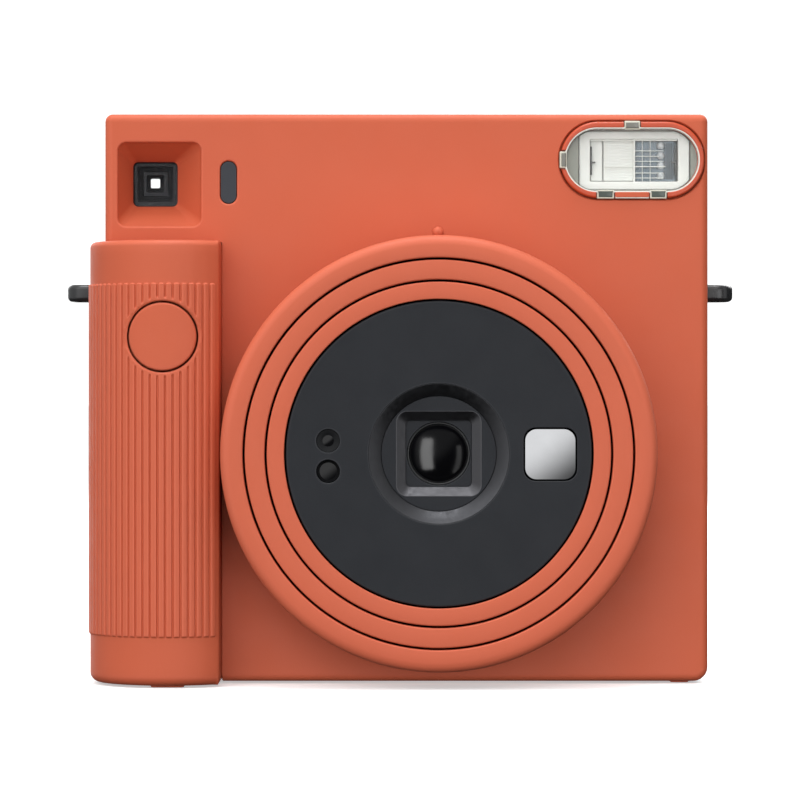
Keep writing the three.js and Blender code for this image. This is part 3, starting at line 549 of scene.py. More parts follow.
GRIP_RIGHT = GRIP.x1
GRIP_TOP = GRIP.z1
CUT_SHARE = 0.03  # how much of the edge rounding the hidden edges beside the grip get
MOUTH = (-50.375, 104.55, 17.35, 17.5, 1.8)
THROAT = (TUNNEL.cx, TUNNEL.cz, 9.4, 9.4, 1.1)
FLASH_PILL = (48.6, 109.65, 30.7, 16.5, 8.25)
METER_PILL = (-35.9, 104.95, 3.5, 9.0, 1.75)


def front_outline(inset):
    return polygon([
        (GRIP_RIGHT + 0.03, BODY_BOTTOM, 0.3), (FRONT.x1, BODY_BOTTOM, 3), (FRONT.x1, FRONT.z1, 1.6),
        (FRONT.x0, FRONT.z1, 1.6), (FRONT.x0, GRIP_TOP + 0.03, 0.3, CUT_SHARE),
        (GRIP_RIGHT + 0.03, GRIP_TOP + 0.03, 0.3, CUT_SHARE),
    ], inset)


def lerp_outline(a, b, share):
    return [(ua + (ub - ua) * share, va + (vb - va) * share) for (ua, va), (ub, vb) in zip(a, b)]


def front_cover():
    inner = FACE + WALL
    outer = rim(front_outline, FACE, 1, 1.6, 8)
    outer += [(front_outline(0), FACE + 2.1), (front_outline(0), SPLIT - 0.25), (front_outline(0.25), SPLIT)]
    outer += [(front_outline(WALL), SPLIT), (front_outline(WALL), inner), (front_outline(WALL + 0.3), inner)]
    lens = circles(((44.4, FACE), (44.0, FACE), (43.6, FACE), (43.1, FACE + 0.4), (43.1, inner)))
    pill = growing(*METER_PILL, steps=24)
    meter = rim(pill, FACE, 1, 0.4, 5, 0.2) + [(pill(0), inner)]
    mouth = growing(*MOUTH, steps=12)
    throat = rounded_rect(*THROAT, steps=12)
    funnel = rim(mouth, FACE, 1, 0.45, 5, 0.25)
    slope = [(0.06, FACE + 0.85), (0.5, FACE + 3.5), (0.94, FACE + 6.0), (1.0, FACE + 6.45)]
    funnel += [(lerp_outline(mouth(0), throat, share), depth) for share, depth in slope]
    behind = rounded_rect(-50.05, 104.75, 18.9, 19.6, 1, steps=12)
    funnel += [(throat, FACE + 6.95), (behind, FACE + 6.95), (behind, inner)]
    shell = Skin().plate(outer, [lens, meter, funnel]).build("front_shell", SHELL)
    wide = growing(*FLASH_PILL, steps=24)
    steps = [(wide(0.3), FACE - 2), (wide(0.3), FACE), (wide(0.12), FACE + 0.15), (wide(0), FACE + 0.4)]
    ledge = rounded_rect(FLASH.cx + 0.6, FLASH_PILL[1], 27.6, 13.0, 6.5, steps=24)
    steps += [(wide(0), inner - 0.65), (ledge, inner - 0.65), (ledge, inner + 1)]
    cut(shell, Skin().plate(steps).build("flash_cutter", SHELL), gear_cutter())
    add(shell, "shell", "front_cover")
    profile = [(0, -0.9), (0.35, -0.87), (0.7, -0.68), (0.92, -0.35), (1, 0), (1, 1)]
    profile = [(share, FACE + depth) for share, depth in profile]
    add(dome("index_bump", 1.15, profile, SHELL, (LENS_X, RING.z1 + 1.35), 32), "shell")


def rear_outline(inset):
    return polygon([
        (REAR.x0, BODY_BOTTOM, 3), (REAR.x1, BODY_BOTTOM, 3), (REAR.x1, REAR.z1, 1.6),
        (FRONT.x0, REAR.z1, 1.6), (FRONT.x0, GRIP_TOP, 0.6), (REAR.x0, GRIP_TOP, 1.6),
    ], inset)


def rect_chain(x0, x1, z0, z1, radius, front, back, edge=0.3, support=0.25):
    """A hole with a rounded edge on the front, from one depth to another in either direction."""
    shape = growing((x0 + x1) / 2, (z0 + z1) / 2, x1 - x0, z1 - z0, radius)
    return rim(shape, front, 1 if back > front else -1, edge, 4, support) + [(shape(0), back)]


def slot_cutter(name, box, z0, z1, radius, flare, mouth_up=True):
    """A cutter along Z, a little larger than a part's box. Its mouth is flared, so the cut has a chamfer."""
    spec = (box.cx, box.cy, box.x1 - box.x0 + 0.6, box.y1 - box.y0 + 0.6, radius)
    rings = [(z0, 0), (z1 - flare, 0), (z1, flare), (z1 + 2, flare)]
    if not mouth_up:
        rings = [(z0 - 2, flare), (z0, flare), (z0 + flare, 0), (z1, 0)]
    chain = [(rounded_rect(*spec, grow=grow, steps=5), depth) for depth, grow in rings]
    return Skin("Z").plate(chain).build(name, SHELL)


def knuckle(name, z0, z1):
    profile = [(1.06, z0, 0.1), (1.7, z0, 0.25), (1.7, z1, 0.25), (1.06, z1, 0.1)]
    return turned(name, profile, SHELL, (PIN.cx, PIN.cy), "Z", 48)


def rear_cover():
    start = REAR.y0
    inner = BODY_BACK - WALL
    window = Box("counter_window")
    outer = rim(rear_outline, BODY_BACK, -1, 1.8, 8)
    outer += [(rear_outline(0), BODY_BACK - 2.3), (rear_outline(0), start + 0.25)]
    outer.append((rear_outline(0.25), start))
    outer += [(rear_outline(WALL), start), (rear_outline(WALL), inner), (rear_outline(WALL + 0.3), inner)]
    holes = [rect_chain(-36, 52.2, 3.2, 106, 0.8, BODY_BACK, inner)]
    for box, half_w, half_h, radius, edge in ((TUNNEL, 4.8, 4.8, 1, 0.3), (window, 2.9, 2.4, 0.6, 0.4)):
        spans = (box.cx - half_w, box.cx + half_w, box.cz - half_h, box.cz + half_h)
        holes.append(rect_chain(*spans, radius, BODY_BACK, inner, edge))
    shell = Skin().plate(outer, holes).build("rear_shell", SHELL)
    cut(shell, slot_cutter("slot_cutter", Box("ejection_flap"), 112, REAR.z1, 0.5, 0.35), battery_cutter())
    add(shell, "shell", "rear_cover")
    door = Box("back_door")
    length = 5.5
    for name, z0 in (("knuckle_low", door.z0), ("knuckle_high", door.z1 - length)):
        add(knuckle(name, z0, z0 + length), "shell")
        outline = narrowing(PIN.cx, BODY_BACK + 0.35, 3.2, 1.5, 0.3)
        add(Skin("Z").slab(outline, z0, z0 + length, 0.2).build(name + "_foot", SHELL), "shell")


def seam_band():
    """The inner lip that closes the seam between the two covers."""
    depths = (SPLIT - 1.2, SPLIT + 1.5)
    outside = [(rear_outline(WALL + 0.05), depth) for depth in depths]
    inside = [(rear_outline(WALL + 0.85), depth) for depth in depths]
    band = Skin().plate(outside, [inside]).build("seam_band", SHELL)
    cut(band, battery_cutter())
    add(band, "shell")


def gear_cutter():
    """Room for the idler gear, which reaches through the walls between the grip and the body."""
    gear = Box("idler_gear")
    depth, height = SPLIT + 1 - gear.y0 + 0.5, gear.z1 - gear.z0 + 1
    outline = rounded_rect(gear.cx, gear.y0 - 0.5 + depth / 2, gear.x1 - gear.x0 + 1.6, depth, 0.3)
    ends = [(outline, gear.cz - height / 2), (outline, gear.cz + height / 2)]
    return Skin("Z").plate(ends).build("gear_cutter", SHELL)


def battery_cutter():
    return slot_cutter("lid_cutter", Box("battery_cover"), BODY_BOTTOM, 3.2, 0.6, 0.3, mouth_up=False)


AXIS_X = -48.0
AXIS_Y = -6.5
CURVE = 17.0
RIB_PITCH = 1.56
RIB_START = 0.35
RIB_DEPTH = 0.35
RIB_LOW = 10.5
RIB_HIGH = 83.5
HOLE = 7.4
BUTTON_X = BUTTON.cx


def grip_path():
    """The grip's outline as (x, y, normal x, normal y, distance along the ribbed part, or None)."""
    edge = math.asin((GRIP_RIGHT - AXIS_X) / CURVE)
    turn = 0.035
    corner_y = AXIS_Y - CURVE * math.cos(edge)
    points = [(GRIP_RIGHT, y, 1, 0, None) for y in (SPLIT, -6, -12, -16, corner_y + 0.55)]
    first = edge - turn
    end = (AXIS_X + CURVE * math.sin(first), AXIS_Y - CURVE * math.cos(first))
    start = (GRIP_RIGHT, corner_y + 0.55)
    for k in range(1, 8):
        t = k / 8
        x = (1 - t) ** 2 * start[0] + 2 * t * (1 - t) * GRIP_RIGHT + t * t * end[0]
        y = (1 - t) ** 2 * start[1] + 2 * t * (1 - t) * corner_y + t * t * end[1]
        angle = math.pi / 2 * (1 - t) + first * t
        points.append((x, y, math.sin(angle), -math.cos(angle), None))
    arc = CURVE * (first + math.pi / 2)
    total = arc + SPLIT - AXIS_Y
    count = int((total - 1.4) / RIB_PITCH)
    shares = (0, 0.05, 0.09, 0.13, 0.17, 0.22, 0.5, 0.78, 0.83, 0.87, 0.91, 0.95)
    distances = [0.0] + [RIB_START + (k + share) * RIB_PITCH for k in range(count) for share in shares]
    distances += [RIB_START + count * RIB_PITCH, total]
    for s in distances:
        if s < arc:
            angle = first - s / CURVE
            points.append((AXIS_X + CURVE * math.sin(angle), AXIS_Y - CURVE * math.cos(angle),
                           math.sin(angle), -math.cos(angle), s))
        else:
            points.append((AXIS_X - CURVE, AXIS_Y + s - arc, -1, 0, s))
    return points, total


def rib_height(s, x, y, z, total):
    """How far the grip's skin stands out: ribs, with narrow grooves, that stop short of the button."""
    share = ((s - RIB_START) / RIB_PITCH) % 1
    near = min(share, 1 - share)
    groove = 1 - smoothstep(0.05, 0.2, near)
    crown = 1 - 0.06 * (2 * near - 1) ** 2
    reach = math.hypot(x - BUTTON_X, z - BUTTON.cz) if y < AXIS_Y else 99
    beside = 1 - smoothstep(HOLE + 0.55, HOLE + 0.95, reach)
    height = RIB_DEPTH * ((1 - groove) * crown * (1 - beside) + beside * 0.9)
    half = RIB_PITCH * 0.45
    rounding = half - math.sqrt(max(half * half - ((share - 0.5) * RIB_PITCH) ** 2, 0.0))
    end = RIB_HIGH - 0.8 * rounding
    height *= smoothstep(RIB_LOW - 0.1, RIB_LOW + 0.3, z) * (1 - smoothstep(end - 0.12, end + 0.08, z))
    height *= smoothstep(0.0, 0.25, s) * (1 - smoothstep(total - 1.0, total - 0.4, s))
    lip = reach - HOLE
    if -0.6 < lip < 0.3:
        inside = min(max(0.3 - lip, 0.0), 0.3)
        height -= 0.3 - math.sqrt(max(0.09 - inside * inside, 0.0))
    return height


def grip_rows():
    """The grip's heights, each with how far its skin moves inwards there."""
    low, high = BODY_BOTTOM, GRIP_TOP
    below, above = BUTTON.cz - 9.4, BUTTON.cz + 9.4
    stops = (
        (2.6, 2.0), (RIB_LOW - 0.3, 0.1), (RIB_LOW + 0.5, 6.0), (below, 0.22), (above, 0.4),
        (RIB_HIGH - 0.9, 0.06), (RIB_HIGH + 0.3, 2.0), (high - 1.3, 1),
    )
    rows = []
    for (z0, step), (z1, _) in zip(stops, stops[1:]):
        count = max(1, round((z1 - z0) / step))
        rows += [(z0 + (z1 - z0) * k / count, 0.0) for k in range(count)]
    turns = [math.pi / 16 * k for k in range(8)]
    bottom = [(low + 2.0 * (1 - math.cos(turn)), 2.0 * (1 - math.sin(turn))) for turn in turns]
    turns = [math.pi / 12 * k for k in range(7)]
    top = [(high - 1.2 * (1 - math.sin(turn)), 1.2 * (1 - math.cos(turn))) for turn in turns]
    return bottom + rows + top


def grip():
    path, total = grip_path()
    skin = Skin("Z")
    rings = []
    for z, inset in grip_rows():
        ring = []
        for x, y, nx, ny, s in path:
            out = -inset
            if s is not None and inset == 0:
                out += rib_height(s, x, y, z, total)
            across = nx * out
            if nx > 0.6 and s is None:
                across = out * nx * 0.25
            along = 0 if y > SPLIT - 0.01 else ny * out
            ring.append((x + across, y + along, z))
        rings.append(skin.raw_ring(ring))
    shell = skin.closed(rings).build("grip_shell", SHELL)
    reach = CURVE - WALL
    edge = math.asin((GRIP_RIGHT - WALL - AXIS_X) / reach)
    turns = [edge - (edge + math.pi / 2) * k / 24 for k in range(25)]
    inner = [(GRIP_RIGHT - WALL, SPLIT + 2)]
    inner += [(AXIS_X + reach * math.sin(turn), AXIS_Y - reach * math.cos(turn)) for turn in turns]
    inner.append((AXIS_X - reach, SPLIT + 2))
    hollow = Skin("Z").plate([(inner, BODY_BOTTOM + WALL), (inner, GRIP_TOP - WALL)])
    hole = dome("hole_cutter", HOLE, [(1, -30), (1, -10)], SHELL, (BUTTON_X, BUTTON.cz), 128)
    inside = Box("film_chamber").x0 - 1
    area = rounded_rect((inside + FRONT.x0 + WALL) / 2, 6, inside - FRONT.x0 - WALL, 26.5, 0.1)
    back = Skin("Z").plate([(area, BODY_BOTTOM + WALL), (area, GRIP_TOP + 2)])
    cut(shell, hollow.build("hollow_cutter", SHELL), hole, battery_cutter(), gear_cutter(),
        back.build("back_cutter", SHELL))
    add(shell, "shell", "grip_cover")


def button():
    """The release button: a round cap that follows the grip's curve."""
    skin = Skin("Y")
    radius = 7.0
    skin_radius = CURVE + 0.3
    shares = [(share, 0) for share in (0.0001, 0.2, 0.4, 0.6, 0.8, 0.92)]
    for k in range(6):
        turn = math.pi / 10 * k
        shares.append((1 - 0.055 * (1 - math.sin(turn)), 0.385 * (1 - math.cos(turn))))
    rings = []
    for share, drop in shares:
        ring = []
        for u, v in circle(BUTTON_X, BUTTON.cz, radius * share, 128):
            front = AXIS_Y - math.sqrt(skin_radius ** 2 - (u - AXIS_X) ** 2)
            ring.append((u, front + drop, v))
        rings.append(skin.raw_ring(ring))
    for wide, depth in ((radius, -17.8), (8.2, -17.8), (8.2, -17.0), (1.7, -17.0), (1.6, BUTTON.y1)):
        rings.append(skin.ring(circle(BUTTON_X, BUTTON.cz, wide, 128), depth))
    shell = skin.closed(rings).build("release_button", SHELL)
    add(shell, "shell", "shutter_button", body="shutter_button")


def release_spring():
    """The release button's coil spring, built at its rest length; the real spring shortens as the button goes
    in.
    """
    box = Box("button_spring")
    turns, coil, wire, travel = 4, 4.9, 0.35, 1.5
    skin = Skin("Y")
    rings = []
    steps = turns * 32
    for k in range(steps + 1):
        angle = 2 * math.pi * turns * k / steps
        out = Vector((math.cos(angle), 0, math.sin(angle)))
        depth = box.y0 + wire + (box.y1 - box.y0 - 2 * wire) * k / steps
        centre = Vector((BUTTON_X, depth, BUTTON.cz)) + out * coil
        rings.append(skin.raw_ring([
            tuple(centre + (out * u + Vector((0, v, 0)))) for u, v in circle(0, 0, wire, 10)]))
    spring = add(skin.closed(rings).build("release_spring", STEEL), "steel", "button_spring")
    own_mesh(spring)


def feet():
    spots = (("grip", -48.1, -18.1, 7, 3), ("right", 58.8, 0, 4, 10), ("back_right", 58.5, 19.7, 4, 3.6),
             ("back_left", -61, 19.7, 4, 3.6))
    for name, *place in spots:
        add(Skin("Z").slab(shrinking(*place, 1), 0, 1.3, 0.3).build("foot_" + name, SHELL), "shell")


# ---- Lens ----

RING_RADIUS = 44.8
HOOD_STEP = -25.2
LENS_BACK = -20.5


def lens():
    ring = [
        (40.15, RING.y0, 0.35), (40.15, RING.y0 + 2.5, 0.1), (43.3, RING.y0 + 2.5, 0.3),
        (43.3, RING.y1, 0.15), (RING_RADIUS, RING.y1, 0.5), (RING_RADIUS, RING.y0, 2.0),
    ]
    add(turned("lens_ring_fine", ring[::-1], SHELL), "shell", "lens_ring", body="lens_ring")
    for name, outside, inside, lip, lip_depth, fillet in (
        ("barrel_outer", 39.7, 38.1, 35.65, 2.2, 0.35), ("barrel_inner", 35.2, 33.7, 31.65, 1.7, 0.25),
    ):
        box = Box(name)
        barrel = [
            (outside, box.y0, 0.35), (outside, box.y1, 0.2), (inside, box.y1, 0.2),
            (inside, box.y0 + lip_depth, 0.2), (lip, box.y0 + lip_depth, 0.1), (lip, box.y0, fillet),
        ]
        add(turned(name + "_fine", barrel, SHELL), "shell", name, body=name)
    mount = [(42, MOUNT.y0, 0.3), (42, MOUNT.y1, 0.2), (40.7, MOUNT.y1, 0.2), (40.7, MOUNT.y0, 0.3)]
    add(turned("lens_mount_fine", mount, SHADED_BLACK), "black", "lens_mount")
    ring_mark("dot", 0, 1.2, 1.2, (0,))
    ring_mark("line", -42, 0.7, 3.0, (0,))
    ring_mark("pair", -84, 0.7, 3.0, (-0.8, 0.8))


def ring_mark(name, degrees, width, length, offsets):
    """A small painted index mark on the side of the lens ring."""
    skin = Skin("Z")
    turn = math.radians(90 + degrees)
    across = Vector((-math.sin(turn), 0, math.cos(turn)))
    out = Vector((math.cos(turn), 0, math.sin(turn)))
    centre = Vector((LENS_X, RING.y1 - 4.0, LENS_Z))
    radius = RING_RADIUS
    for offset in offsets:
        points = rounded_rect(offset, 0, width, length, width / 2)
        rings = []
        for lift in (-0.4, 0.03):
            rings.append(skin.raw_ring([
                tuple(centre + across * u + Vector((0, v, 0)) + out * (radius * math.cos(u / radius) + lift))
                for u, v in points]))
        skin.closed(rings)
    add(skin.build("ring_mark_" + name, PAINT), "white", body="lens_ring")


def lens_face():
    face = Box("lens_face_plate")
    front, back = face.y0, face.y1
    light, sensor, mirror = Box("light_meter_lens"), Box("flash_meter_lens"), Box("selfie_mirror")
    deep = back - front
    outer = rim(lambda inset: circle(LENS_X, LENS_Z, 31.3 - inset), front, 1, 0.35)
    outer += circles(((31.3, back - 0.1), (31.2, back)))
    holes = [circles(((15, 0), (14.75, 0), (14.5, 0), (14.4, 0.1), (14.4, deep)), front)]
    for eye in (light, sensor):
        steps = ((3.1, 0), (2.8, 0), (2.5, 0), (2.42, 0.08), (2.4, 0.2), (2.4, deep))
        holes.append(circles(steps, front, (eye.cx, eye.cz), 64))
    pocket = growing(mirror.cx, mirror.cz, 10.95, 10.95, 2.5, steps=10)
    holes.append(rim(pocket, front, 1, 0.12, 3, 0.2) + [(pocket(0), back)])
    plate = Skin().plate(outer, holes).build("lens_face", DISC)
    add(plate, "black", "lens_face_plate", body="barrel_inner")
    cone = set_back(((14.4, 0.12, 0.08), (14.4, 2.4, 0.05), (11.85, 2.4, 0.1), (11.85, 1.98, 0.12)), front)
    # painted shade: the cone takes the darker copy of the satin black
    add(turned("lens_cone", cone, CONE_SHADED_SATIN), "black", body="barrel_inner")
    hood()
    glass_elements()
    mirror_piece(mirror)
    sensors(light, sensor, front)


def hood():
    """The square-mouthed funnel round the lens: a black disc, and a satin frame that slopes in to it."""
    box = Box("lens_hood")
    floor = box.y0 + 2.3

    def square(side, radius, grow=0.0):
        return rounded_rect(LENS_X, LENS_Z, side, side, radius, grow=grow, steps=10)

    disc = circles(((11.64, box.y0), (11.67, box.y0), (11.7, box.y0), (11.75, box.y0 + 0.05),
                    (11.75, HOOD_STEP), (13.4, HOOD_STEP), (13.4, floor + 0.5)))
    mouth = [(square(17.5, 2.3, grow), box.y0) for grow in (0.08, 0.04, 0)]
    mouth.append((square(17.5, 2.3), floor + 0.5))
    add(Skin().plate(disc, [mouth]).build("hood_disc", DISC), "black", "lens_hood", body="barrel_inner")
    steps = ((17.42, 2.28, 0), (17.38, 2.26, 0), (17.2, 2.2, 0.04), (13.9, 1.1, 1.72), (13.7, 1.0, 1.76),
             (13.6, 0.95, 1.85), (13.55, 0.95, 2.3))
    slope = [(square(side, radius), box.y0 + depth) for side, radius, depth in steps]
    outside = [(square(17.48, 2.3), depth) for depth in (box.y0, floor)]
    add(Skin().plate(outside, [slope]).build("hood_frame", SATIN), "black", body="barrel_inner")
    outside = [(square(13.6, 0.95), depth) for depth in (floor - 0.05, floor + 0.4)]
    bore = circles(((6.75, -0.05), (6.65, -0.05), (6.55, 0.03), (6.5, 0.15), (6.5, 0.4)), floor, points=96)
    add(Skin().plate(outside, [bore]).build("hood_floor", DISC), "black", body="barrel_inner")
    tube = [(6.5, floor + 0.4), (6.9, floor + 0.4), (6.9, LENS_BACK + 0.1), (6.5, LENS_BACK + 0.1)]
    add(turned("hood_tube", tube, SHADED_BLACK, steps=96), "black", body="barrel_inner")
    front = -23.4
    collar = [(6.45, front, 0.15), (6.45, LENS_BACK, 0.1), (6.15, LENS_BACK, 0.05), (6.15, front, 0.1)]
    add(turned("lens_collar", collar, LUG, steps=96), "black", body="barrel_inner")


def cap(radius, edge, bulge, steps=10):
    """The front of a lens element as (share of its radius, depth), from its pole to its edge."""
    curve = (radius * radius + bulge * bulge) / (2 * bulge)
    shares = [k / steps for k in range(steps + 1)]
    return [(s, edge - (math.sqrt(curve ** 2 - (s * radius) ** 2) - (curve - bulge))) for s in shares]


def glass_elements():
    """The front element, over a dark cell."""
    front = cap(6.1, -22.6, 2.0, 16) + [(1, -22.0), (0.5, -21.9), (0, -21.9)]
    add(dome("front_element", 6.1, front, COATED, steps=128), "glass", "front_lens", body="barrel_inner")
    cell = [(6.1, -21.8), (6.1, LENS_BACK), (1.6, LENS_BACK), (1.6, -20.9)]
    add(turned("lens_cell", cell, SHADED_BLACK, steps=96), "black", body="barrel_inner")


def mirror_piece(mirror):
    """The convex selfie mirror, a rounded square."""
    skin = Skin()
    curve = 42.0
    outline = rounded_rect(0, 0, 10.5, 10.5, 2.4, steps=10, between=10)
    rings = []
    for share in [0.0001] + [k / 16 for k in range(1, 16)] + [0.975, 1.0]:
        front = mirror.y0 + (0.3 if share == 1.0 else 0.1)
        rings.append(skin.raw_ring([
            (mirror.cx + u * share, front + (u * u + v * v) * share ** 2 / (2 * curve), mirror.cz + v * share)
            for u, v in outline]))
    rings.append(skin.ring([(mirror.cx + u, mirror.cz + v) for u, v in outline], -26.3))
    glass = skin.closed(rings).build("selfie_mirror_fine", MIRROR)
    add(glass, "mirror", "selfie_mirror", body="barrel_inner")


def sensors(light, sensor, front):
    """Two small round windows: a ringed lens above and a plain deep eye below."""
    cup = set_back(((2.38, 0.35, 0.08), (2.38, 1.6, 0.05), (1.0, 1.6, 0.05), (1.15, 0.75, 0.1)), front)
    add(turned("light_meter_cup", cup, SHADED_BLACK, (light.cx, light.cz), steps=64), "black", body="barrel_inner")
    for name, box, radius, depth, bulge, back in (
        ("light", light, 1.5, 0.95, 0.45, 1.5), ("flash", sensor, 2.3, 1.7, 0.3, 2.2),
    ):
        profile = cap(radius, front + depth, bulge, 8) + [(1, front + back), (0, front + back)]
        bead = dome(name + "_meter_bead", radius, profile, BEAD, (box.cx, box.cz), 48)
        add(bead, "glass", name + "_meter_lens", body="barrel_inner")


# ---- Flash ----

def flash():
    cx, cz = FLASH_PILL[:2]
    bezel = Box("flash_bezel")
    y0, y1 = FLASH.y0, FLASH.y1

    def pill(width, height, shape=rounded_rect):
        return shape(cx, cz, width, height, height / 2, steps=24)

    def rounded_pill(width, height, shape, front, back, *rounding):
        return rim(pill(width, height, shape), front, 1, *rounding) + [(pill(width, height), back)]

    outer = rounded_pill(30.2, 16.0, shrinking, bezel.y0 - 0.1, bezel.y1, 0.5, 7, 0.05)
    inner = rounded_pill(28.1, 13.35, growing, bezel.y0 - 0.1, bezel.y1, 0.3, 5, 0.05)
    ring = Skin().plate(outer, [inner]).build("flash_rim", RIM_SHELL)
    cutters = []
    edge = 0.32
    for name, x0, x1, z0, z1, dark in (
        ("top", -1.65, 1.65, 6.3, 8.15, TAB_GREY), ("low_left", -7.4, -3.8, -8.15, -6.3, TAB_DARK),
        ("low_right", 3.7, 7.2, -8.15, -6.3, TAB_DARK), ("side", -15.2, -13.7, -1.75, 1.75, TAB_GREY),
    ):
        x0, x1, z0, z1 = cx + x0, cx + x1, cz + z0, cz + z1
        notch = rounded_rect((x0 + x1) / 2, (z0 + z1) / 2, x1 - x0 + 0.35, z1 - z0 + 0.6, 0.15)
        cutters.append(Skin().plate([(notch, -12), (notch, bezel.y1 - 0.5)]).build("tab_cutter", SHELL))
        # painted highlight: a pale clip block whose rim shows round the darker face, for a clear clip's
        # bright edges
        add(block("flash_clip_" + name, x0, x1, y0 + 0.1, bezel.y1 - 0.6, z0, z1, TAB, 0.2), "clear")
        spec = (x0 + edge, x1 - edge, y0 + 0.02, y0 + 0.5, z0 + edge, z1 - edge)
        add(block("flash_tab_" + name, *spec, dark, 0.15), "clear")
    cut(ring, *cutters)
    add(ring, "shell", "flash_bezel")
    # painted highlight: a pale outline round the orange bar, like the pane's bright edge
    low, high = cz - 8.1, cz - 6.5
    spec = (cx - 3.55, cx + 3.45, y0 + 0.05, bezel.y1 - 0.6, low, high)
    add(block("flash_bar_edge", *spec, RIM, 0.15), "clear")
    spec = (cx - 3.4, cx + 3.3, y0 - 0.05, bezel.y1 - 0.8, low + 0.25, high - 0.25)
    add(block("flash_bar", *spec, SHELL, 0.12), "shell")
    # painted highlight: the pane's edge ring takes the pale colour
    lip = ((28.5, 13.75, y0 + 0.25), (28.4, 13.65, y0 + 0.1), (27.9, 13.15, y0 + 0.1),
           (27.7, 12.95, y0 + 0.3), (27.7, 12.95, y1), (28.5, 13.75, y1))
    skin = Skin()
    loops = [skin.ring(pill(width, height), depth) for width, height, depth in lip]
    add(skin.tube(loops + loops[:1]).build("flash_pane_edge", RIM), "clear")
    chain = rounded_pill(28.0, 13.25, shrinking, y0, y1, 0.5, 5, 0.3)
    add(Skin().plate(chain).build("flash_pane", CLEAR), "clear", "flash_window")
    middle = cx + 0.55
    front, back = -7.75, -7.3
    # painted shade: a grey-green plate at the window's ends stands in for the shaded inside
    backing = [(pill(27.0, 12.6), front), (pill(27.4, 12.9), front), (pill(27.4, 12.9), back)]
    opening = [(rounded_rect(middle, cz, 23.5, 12.5, 0.5), depth) for depth in (front, back)]
    add(Skin().plate(backing, [opening]).build("flash_painted_shade_plate", PAINTED_SHADE_PLATE), "board")
    flash_unit(middle, cz)


def block(name, x0, x1, y0, y1, z0, z1, material, radius=0.15, axis="Y"):
    """A small rounded block."""
    u0, u1, v0, v1, low, high = (x0, x1, z0, z1, y0, y1) if axis == "Y" else (x0, x1, y0, y1, z0, z1)
    outline = narrowing((u0 + u1) / 2, (v0 + v1) / 2, u1 - u0, v1 - v0, radius)
    edge = min(radius, (high - low) / 3, (u1 - u0) / 3, (v1 - v0) / 3)
    chain = rim(outline, low, 1, edge, 3, 0.0) + rim(outline, high, -1, edge, 3, 0.0)[::-1]
    return Skin(axis).plate(chain).build(name, material)


def joined(name, pieces):
    """Several loose parts as one piece."""
    work = bmesh.new()
    for piece in pieces:
        work.from_mesh(piece.data)
    mesh = bpy.data.meshes.new(name)
    mesh.materials.append(pieces[0].data.materials[0])
    write_mesh(work, mesh)
    for piece in pieces:
        bpy.data.objects.remove(piece)
    return new_piece(name, mesh)


